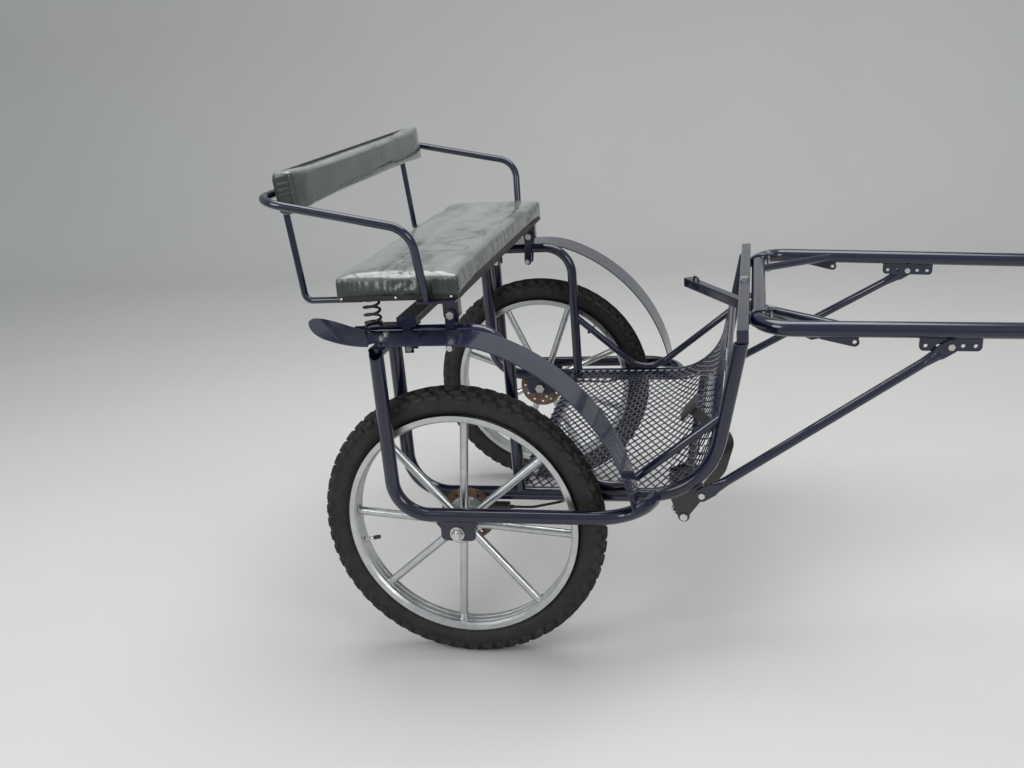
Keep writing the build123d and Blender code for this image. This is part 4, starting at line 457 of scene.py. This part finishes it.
def expanded_mesh():
    """Strands of expanded metal: each is a flat bar from one knuckle to the next.

    Strand k of a row runs diagonally across half a diamond; its four edges are placed
    at its two ends on the floor's sheet, eight points in all, and it runs straight between them."""
    wide, deep = 0.0423, 0.0215
    columns = int(round(0.846 / wide))
    rows = int(floor_length() / deep)
    half_thick, half_wide = 0.0012, 0.0016
    starts, ends = [], []
    i, j = np.meshgrid(np.arange(2 * rows), np.arange(2 * columns), indexing="ij")
    keep = (i + j) % 2 == 0
    i, j = i[keep], j[keep]
    s0 = i * deep / 2
    y0 = -0.423 + j * wide / 2
    segments = []
    for step in (1, -1):
        y1 = y0 + step * wide / 2
        ok = (y1 >= -0.4235) & (y1 <= 0.4235)
        segments.append(np.stack([s0[ok], y0[ok], s0[ok] + deep / 2, y1[ok]], -1))
    segments = np.concatenate(segments)
    # The pedal's slot stays open.
    middle_s = (segments[:, 0] + segments[:, 2]) / 2
    middle_y = (segments[:, 1] + segments[:, 3]) / 2
    radius = dash_bend - mesh_offset
    flat_end = dash_corner_x - dash_bend * math.tan((math.pi / 2 - dash_lean) / 2)
    slot_low = flat_end - 0.109 + radius * math.radians(47)
    in_slot = (np.abs(middle_y + 0.330) < 0.016) & (middle_s > slot_low) & (middle_s < slot_low + 0.118)
    segments = segments[~in_slot]
    count = len(segments)
    t = np.array([0.0, 1.0])
    s = segments[:, None, 0] * (1 - t) + segments[:, None, 2] * t
    y = segments[:, None, 1] * (1 - t) + segments[:, None, 3] * t
    along = np.stack([segments[:, 2] - segments[:, 0], segments[:, 3] - segments[:, 1]], -1)
    along /= np.linalg.norm(along, axis=1, keepdims=True)
    across = np.stack([-along[:, 1], along[:, 0]], -1)
    corners = []
    for du, dv in ((-1, -1), (1, -1), (1, 1), (-1, 1)):
        ss = s + across[:, None, 0] * du * half_wide
        yy = y + across[:, None, 1] * du * half_wide
        corners.append(floor_point(ss, np.clip(yy, -0.4245, 0.4245), dv * half_thick))
    points = np.stack(corners, 2).reshape(-1, 3)
    base = (np.arange(count) * 8)[:, None, None]
    quads = np.array([[0, 1, 5, 4], [1, 2, 6, 5], [2, 3, 7, 6], [3, 0, 4, 7], [0, 3, 2, 1], [4, 5, 6, 7]])
    piece = mesh_piece("mesh_floor", points, (base + quads[None]).reshape(-1, 4), smooth=False)
    return point_outwards_loose(piece)


def point_outwards_loose(piece):
    """Turns the faces of many closed bars outwards without merging them."""
    shell = bmesh.new()
    shell.from_mesh(piece.data)
    bmesh.ops.recalc_face_normals(shell, faces=shell.faces)
    shell.to_mesh(piece.data)
    shell.free()
    return piece


mesh_floor = expanded_mesh()
finish_piece(mesh_floor, navy_flat, "cart_frame", "navy_paint", "floor_mesh")


# ---- cushions -----------------------------------------------------------------------

def rounded_slab(name, size, radius):
    """A box with rounded edges made by bevelling; the voxel remesh that divides it finely comes later, in inflate."""
    shell = bmesh.new()
    bmesh.ops.create_cube(shell, size=1.0)
    bmesh.ops.scale(shell, vec=size, verts=shell.verts)
    bmesh.ops.bevel(shell, geom=list(shell.edges), offset=radius, segments=5, profile=0.5, affect="EDGES")
    mesh = bpy.data.meshes.new(name)
    shell.to_mesh(mesh)
    shell.free()
    piece = bpy.data.objects.new(name, mesh)
    bpy.context.scene.collection.objects.link(piece)
    return piece


def apply_modifiers(piece):
    """Bakes a piece's modifiers into its mesh."""
    graph = bpy.context.evaluated_depsgraph_get()
    baked = bpy.data.meshes.new_from_object(piece.evaluated_get(graph))
    old = piece.data
    piece.modifiers.clear()
    piece.data = baked
    bpy.data.meshes.remove(old)
    return piece


def inflate(piece, voxel, pressure, cap, frames=20):
    """Swells a slab as stuffed cloth: a voxel remesh, then cloth with pressure and no gravity."""
    remesh = piece.modifiers.new("fine", "REMESH")
    remesh.mode = "VOXEL"
    remesh.voxel_size = voxel
    apply_modifiers(piece)
    before = np.zeros(len(piece.data.vertices) * 3)
    piece.data.vertices.foreach_get("co", before)
    before = before.reshape(-1, 3)
    cloth = piece.modifiers.new("swell", "CLOTH")
    settings = cloth.settings
    settings.quality = 6
    settings.use_pressure = True
    settings.uniform_pressure_force = pressure
    settings.tension_stiffness = 30
    settings.compression_stiffness = 30
    settings.shear_stiffness = 20
    settings.bending_stiffness = 4
    settings.effector_weights.gravity = 0.0
    cloth.point_cache.frame_start = 1
    cloth.point_cache.frame_end = frames
    scene = bpy.context.scene
    for step in range(1, frames + 1):
        scene.frame_set(step)
    apply_modifiers(piece)
    after = np.zeros(len(piece.data.vertices) * 3)
    piece.data.vertices.foreach_get("co", after)
    after = after.reshape(-1, 3)
    shift = after - before
    far = np.linalg.norm(shift, axis=1, keepdims=True)
    after = before + shift * np.minimum(1.0, cap / np.maximum(far, 1e-9))
    piece.data.vertices.foreach_set("co", after.reshape(-1))
    piece.data.update()
    scene.frame_set(1)
    return piece


def crown_pad(piece, size, crown, pinch):
    """Crowns a slab's face and draws its sides in between the corners.

    The face rises by crown times (1 - u^2)(1 - v^2), u and v running -1 to 1 over the slab;
    the sides move in by pinch times the same humps along each edge."""
    count = len(piece.data.vertices)
    points = np.zeros(count * 3)
    piece.data.vertices.foreach_get("co", points)
    points = points.reshape(-1, 3)
    u = np.clip(points[:, 0] / (size[0] / 2), -1, 1)
    v = np.clip(points[:, 1] / (size[1] / 2), -1, 1)
    w = points[:, 2] / (size[2] / 2)
    upper = smooth_step(w, -0.5, 0.2)
    points[:, 2] += crown * (1 - u ** 4) * (1 - v ** 8) * (w > 0) * np.clip(w, 0, 1)
    points[:, 0] -= pinch * u ** 5 * (1 - v ** 6) * upper
    points[:, 1] -= pinch * v ** 9 * (1 - u ** 4) * upper
    # The cover's wrinkles: long shallow waves on top, folds down the sides and tight pleats at the ends.
    long_wave = np.sin(points[:, 1] * 21 + 3 * np.sin(points[:, 0] * 12)) + 0.5 * np.sin(points[:, 1] * 47 + 1.3)
    points[:, 2] += 0.0007 * long_wave * (w > 0.2)
    side_wave = np.sin(points[:, 1] * 95 + 5 * np.sin(points[:, 1] * 13))
    points[:, 0] -= 0.0005 * side_wave * np.abs(u) ** 6 * np.sign(u) * upper
    pleats = np.sin(points[:, 0] * 420 + 3 * np.sin(points[:, 0] * 61) + 30 * points[:, 2])
    points[:, 1] += 0.0006 * pleats * np.sign(v) * smooth_step(np.abs(v), 0.975, 1.0) * smooth_step(0.9 - w, 0.0, 0.5)
    # The cover ends just inside the board's far face.
    points[:, 2] = np.maximum(points[:, 2], -size[2] / 2)
    piece.data.vertices.foreach_set("co", points.reshape(-1))
    piece.data.update()


def place_pad(piece, matrix):
    """Moves a pad's mesh to its seat, leaving its object at the origin."""
    piece.data.transform(matrix)
    piece.data.polygons.foreach_set("use_smooth", np.full(len(piece.data.polygons), True))
    piece.data.update()


def make_pad(name, size, radius, crown, pinch, matrix, material, body, slot, node):
    slab = rounded_slab(name, size, radius)
    inflate(slab, 0.006, 2.0, 0.006)
    finer = slab.modifiers.new("finer", "SUBSURF")
    finer.levels = 1
    apply_modifiers(slab)
    crown_pad(slab, size, crown, pinch)
    place_pad(slab, matrix)
    finish_piece(slab, material, body, slot, node)
    return slab


# Each cover is drawn round its board's edges and ends 0.4 mm inside the board's outer face.
seat_low, seat_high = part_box("seat_cushion")
board_low, board_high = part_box("seat_board")
seat_low.z = board_low.z + 0.0004
seat_size = (seat_high.x - seat_low.x - 0.006, 2 * board_high.y + 0.002, seat_high.z - seat_low.z - 0.002)
seat_middle = Vector(((seat_low.x + seat_high.x) / 2, 0.0, seat_low.z + seat_size[2] / 2))
make_pad("bench_pad", seat_size, 0.010, 0.003, 0.002, Matrix.Translation(seat_middle), vinyl, "seat", "dark_vinyl", "seat_cushion")

back_lean = math.radians(5.0)
back_low, back_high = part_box("backrest_cushion")
back_board = 0.0103
back_size = (0.095, 0.938, 0.0330 + back_board - 0.0004)
back_turn = Matrix.Rotation(-back_lean, 4, "Y") @ Matrix(((0, 0, 1, 0), (0, 1, 0, 0), (-1, 0, 0, 0), (0, 0, 0, 1)))
back_middle = (back_low + back_high) / 2 + back_turn.to_3x3() @ Vector((0.0, 0.0, -back_board / 2 - 0.0006))
make_pad("back_pad", back_size, 0.008, 0.002, 0.001, Matrix.Translation(back_middle) @ back_turn, vinyl, "seat", "dark_vinyl", "backrest_cushion")


# ---- welds, trim and small fittings ---------------------------------------------------

def beads(name, centres, axes, radii, bead, rows=20, columns=6):
    """Weld beads: a ring about each axis, whose own section swells and shrinks as it was laid.

    Point (k, a, b) = centre k + (radius k + t cos b)(u cos a + v sin a) + 0.8 t sin b along
    axis k, with the bead's thickness t = bead (1 + 0.22 sin(7 a + 3 k))."""
    centres, axes = np.asarray(centres, float), np.asarray(axes, float)
    axes = axes / np.linalg.norm(axes, axis=1, keepdims=True)
    radii = np.broadcast_to(np.asarray(radii, float), (len(centres),))
    helper = np.where(np.abs(axes[:, 1:2]) < 0.9, [[0.0, 1.0, 0.0]], [[1.0, 0.0, 0.0]])
    u = np.cross(axes, helper)
    u /= np.linalg.norm(u, axis=1, keepdims=True)
    v = np.cross(axes, u)
    k = np.arange(len(centres))[:, None, None, None]
    a = np.linspace(0, 2 * np.pi, rows, endpoint=False)[None, :, None, None]
    b = np.linspace(0, 2 * np.pi, columns, endpoint=False)[None, None, :, None]
    thick = bead * (1 + 0.22 * np.sin(7 * a + 3 * k))
    ring = u[:, None, None] * np.cos(a) + v[:, None, None] * np.sin(a)
    points = (centres[:, None, None] + (radii[:, None, None, None] + thick * np.cos(b)) * ring
              + 0.8 * thick * np.sin(b) * axes[:, None, None])
    quads = grid_faces(rows, columns, wrap_rows=True, wrap_columns=True)
    faces = (np.arange(len(centres)) * rows * columns)[:, None, None] + quads[None]
    return point_outwards_loose(mesh_piece(name, points.reshape(-1, 3), faces.reshape(-1, 4)))


def turned(name, centre, axis, profile, columns=36):
    """A turned piece: a profile of (along, radius) carried round an axis from a centre."""
    axis = np.asarray(axis, float) / np.linalg.norm(axis)
    helper = np.array([0.0, 1.0, 0.0]) if abs(axis[1]) < 0.9 else np.array([1.0, 0.0, 0.0])
    u = np.cross(axis, helper)
    u /= np.linalg.norm(u)
    v = np.cross(axis, u)
    along, radius = np.asarray(profile, float).T
    a = np.linspace(0, 2 * np.pi, columns, endpoint=False)[None, :, None]
    points = (np.asarray(centre, float) + along[:, None, None] * axis
              + radius[:, None, None] * (u * np.cos(a) + v * np.sin(a)))
    return point_outwards(mesh_piece(name, points.reshape(-1, 3), grid_faces(len(along), columns, wrap_columns=True)))


spoke_phase = {"right": -5.5, "left": 23.5}
for label, side in sides.items():
    turn = np.radians(spoke_phase[label] + 45.0 * np.arange(8))
    outwards = np.stack([np.cos(turn), 0 * turn, np.sin(turn)], -1)
    hub_centre = np.array([axle_x, side * wheel_y, axle_z])
    spots = np.concatenate([hub_centre + outwards * 0.2505, hub_centre + outwards * 0.0335])
    welds = beads("spoke_welds_" + label, spots, np.concatenate([outwards, outwards]), 0.0100, 0.0021)
    finish_piece(welds, wheel_zinc, "wheel_" + label, "zinc")
    # Two rolled ridges stand inwards from the rim's channel.
    for number, across in enumerate((-0.0085, 0.0085)):
        arc = np.linspace(0, np.pi, 7)
        profile = np.stack([across + 0.0022 * np.cos(arc), 0.2521 - 0.0013 * np.sin(arc)], -1)
        profile = np.concatenate([profile, profile[:1]])
        ridge = turned("rim_ridge_%s_%d" % (label, number + 1), hub_centre, (0, 1, 0), profile, 180)
        finish_piece(ridge, wheel_zinc, "wheel_" + label, "zinc")

# Bright valve stems, each with a black cap
valve_turn = {"right": math.radians(191.7), "left": math.radians(46.0)}
for label, side in sides.items():
    way = (math.cos(valve_turn[label]), 0.0, math.sin(valve_turn[label]))
    hub_centre = (axle_x, side * wheel_y, axle_z)
    stem = [(0.2280, 0.0), (0.2280, 0.0036), (0.2470, 0.0036), (0.2490, 0.0055), (0.2512, 0.0055), (0.2512, 0.0)]
    finish_piece(turned("valve_stem_" + label, hub_centre, way, stem, 24), bolt_zinc, "wheel_" + label, "zinc")
    cap = [(0.2132, 0.0), (0.2132, 0.0035), (0.2142, 0.0047), (0.2285, 0.0050), (0.2285, 0.0)]
    finish_piece(turned("valve_cap_" + label, hub_centre, way, cap, 24), cap_black, "wheel_" + label, "black_plastic")

# Rubber cover of the brake pedal: a square with cross ribs
pad_middle = np.array([axle_x + 0.505, -0.330, 0.546])
elbow = np.array([axle_x + 0.597, -0.330, 0.470])
pad_way = (pad_middle - elbow) / np.linalg.norm(pad_middle - elbow)
pad_up = np.cross(pad_way, (0.0, 1.0, 0.0))


def ribbed_pad():
    """A square cover: its face rises in ribs as a rounded square wave of one direction.

    Point (p, q) lies at p across and q up the pad; its height is 1.2 mm plus 1.6 mm times
    the wave of q, falling to nothing at the edge, with the rim turned down 5 mm."""
    p = np.linspace(-1, 1, 25)[:, None]
    q = np.linspace(-1, 1, 61)[None, :]
    edge = np.minimum(1 - np.abs(p) + 0 * q, 1 - np.abs(q) + 0 * p)
    ribs = smooth_step(np.cos(q * math.pi * 6.5), -0.2, 0.35) * smooth_step(edge, 0.05, 0.14)
    height = 0.0012 + 0.0016 * ribs - 0.0062 * (edge <= 0)
    half = 0.0285 - 0.0006 * smooth_step(edge, 0.0, 0.02)
    points = (pad_middle + (p * half)[..., None] * np.array([0.0, 1.0, 0.0])
              + (q * half)[..., None] * pad_up + height[..., None] * pad_way)
    return mesh_piece("pedal_rubber", points.reshape(-1, 3), grid_faces(25, 61, flip=True))


finish_piece(ribbed_pad(), cap_black, "brake_pedal", "black_rubber")

# Rubber boot where the pushrod enters the cylinder
slope = math.radians(54.6)
pull_way = np.array([math.cos(slope), 0.0, math.sin(slope)])
pull_pin = np.array([axle_x + 0.487 - 0.024 * math.sin(slope), -0.330, 0.280 + 0.024 * math.cos(slope)])
steps = np.linspace(0, 1, 40)
folds = 0.0088 + 0.0012 * np.cos(steps * 2 * math.pi * 4)
boot = np.stack([0.0255 + steps * 0.0145, folds], -1)
boot = np.concatenate([[[0.0255, 0.0043]], boot, [[0.0400, 0.0043]], [[0.0255, 0.0043]]])
finish_piece(turned("cylinder_boot", pull_pin, pull_way, boot, 28), cap_black, "cart_frame", "black_rubber")

# Small domed tacks hold the cover along the lower edge of the cushion's ends.
dome = np.linspace(0, math.pi / 2, 6)
dome_profile = np.stack([0.0016 * np.sin(dome), 0.0034 * np.cos(dome)], -1)
for label, side in sides.items():
    for number, x in enumerate((-0.236, -0.110, 0.016)):
        spot = (axle_x + x, side * (board_high.y + 0.0010), seat_low.z + 0.0060)
        tack = turned("cover_tack_%s_%d" % (label, number + 1), spot, (0, side, 0), dome_profile, 16)
        finish_piece(tack, bolt_zinc, "seat", "zinc")


# Seat springs: two coils in place of the model's springs, attached to no body.
spring_x, spring_turns = axle_x - 0.184, 4.0
spring_wire, spring_coil = 0.00325, 0.01775
spring_y = 0.433
spring_low, spring_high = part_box("seat_springs")


def coil_springs():
    """Two open coils: a round wire carried up a helix, with its last tenth lying flat at each end.

    Step t turns the wire to angle 8 pi t; its section is a circle that closes at both ends."""
    t = np.linspace(0, 1, 193)[:, None]
    b = np.linspace(0, 2 * np.pi, 12, endpoint=False)[None, :]
    a = 2 * np.pi * spring_turns * t
    thick = spring_wire * np.sqrt(np.clip(np.minimum(t, 1 - t) / 0.004, 0, 1))
    rise = np.clip((t - 0.1) / 0.8, 0, 1)
    lowest, highest = spring_low.z + spring_wire, spring_high.z - spring_wire
    radius = spring_coil + thick * np.cos(b)
    z = lowest + (highest - lowest) * rise + thick * np.sin(b)
    coils = [np.stack([spring_x + radius * np.cos(a), side * spring_y + radius * np.sin(a), z], -1).reshape(-1, 3)
             for side in sides.values()]
    quads = grid_faces(193, 12, wrap_columns=True)
    return point_outwards(mesh_piece("spring_coils", np.concatenate(coils), np.concatenate([quads, quads + 193 * 12])))


coils = coil_springs()
coils.data.materials.append(black_enamel)
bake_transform(coils)
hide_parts("seat_springs")


# ---- stage, lamps and camera ---------------------------------------------------------

def plain_sheet(name, colour, roughness):
    material, tree, surface = shader(name, Metallic=0.0)
    place = coords(tree)
    tree.links.new(ramp(tree, noise(tree, place, 1.2, 5.0), (0.3, tuple(c * 0.97 for c in colour)), (0.7, colour)), surface.inputs["Base Color"])
    surface.inputs["Roughness"].default_value = roughness
    return material


def studio_sweep():
    """A floor that curves up into a backdrop: a profile along Y, carried along X.

    The profile is flat, then a quarter circle, then upright."""
    bend = 1.5
    back = 5.0
    angle = np.linspace(0, math.pi / 2, 24)
    profile_y = np.concatenate([[-9.0], back - bend + bend * np.sin(angle), [back]])
    profile_z = np.concatenate([[0.0], bend - bend * np.cos(angle), [7.0]])
    across = np.array([-14.0, 14.0])
    points = np.stack([np.repeat(across, len(profile_y)), np.tile(profile_y, 2), np.tile(profile_z, 2)], -1)
    return mesh_piece("studio_sweep", points, grid_faces(2, len(profile_y)))


sweep = studio_sweep()
sweep.data.materials.append(plain_sheet("pale_sweep", (0.62, 0.62, 0.60), 0.75))


def soft_lamp(name, place, target, size, power, colour=(1, 1, 1)):
    light = bpy.data.lights.new(name, "AREA")
    light.shape = "RECTANGLE"
    light.size, light.size_y = size
    light.energy = power
    light.color = colour
    lamp = bpy.data.objects.new(name, light)
    bpy.context.scene.collection.objects.link(lamp)
    lamp.location = place
    lamp.rotation_euler = (Vector(target) - Vector(place)).to_track_quat("-Z", "Y").to_euler()
    return lamp


soft_lamp("overhead_softbox", (-0.6, 0.3, 3.6), (-0.5, 0.0, 0.5), (3.2, 2.2), 95)
soft_lamp("side_softbox", (-3.2, -3.0, 2.6), (-0.6, 0.0, 0.6), (1.8, 1.8), 55)
soft_lamp("front_softbox", (2.6, -3.0, 2.2), (-0.4, 0.0, 0.6), (1.6, 1.6), 38)

world = bpy.data.worlds.new("studio_air")
bpy.context.scene.world = world
world.use_nodes = True
world.node_tree.nodes["Background"].inputs["Color"].default_value = (0.80, 0.84, 0.88, 1.0)
world.node_tree.nodes["Background"].inputs["Strength"].default_value = 0.55

# The photograph's camera: yaw, pitch and roll of the view, and its focal length in pixels
yaw, pitch, roll, focal = math.radians(13.859), math.radians(18.473), math.radians(4.904), 1062.3
forward = Vector((-math.sin(yaw) * math.cos(pitch), math.cos(yaw) * math.cos(pitch), -math.sin(pitch)))
level = Vector((math.cos(yaw), math.sin(yaw), 0.0))
down = forward.cross(level)
right = math.cos(roll) * level + math.sin(roll) * down
below = -math.sin(roll) * level + math.cos(roll) * down
camera_data = bpy.data.cameras.new("view")
camera_data.sensor_width = 36.0
camera_data.lens = focal / 1024 * 36.0
camera_data.clip_end = 60.0
camera = bpy.data.objects.new("view", camera_data)
bpy.context.scene.collection.objects.link(camera)
turn = Matrix((right, -below, -forward)).transposed().to_4x4()
camera.matrix_world = Matrix.Translation((0.6622 + axle_x, -2.6158, 1.3911)) @ turn
bpy.context.scene.camera = camera
bpy.context.scene.view_settings.view_transform = "Standard"
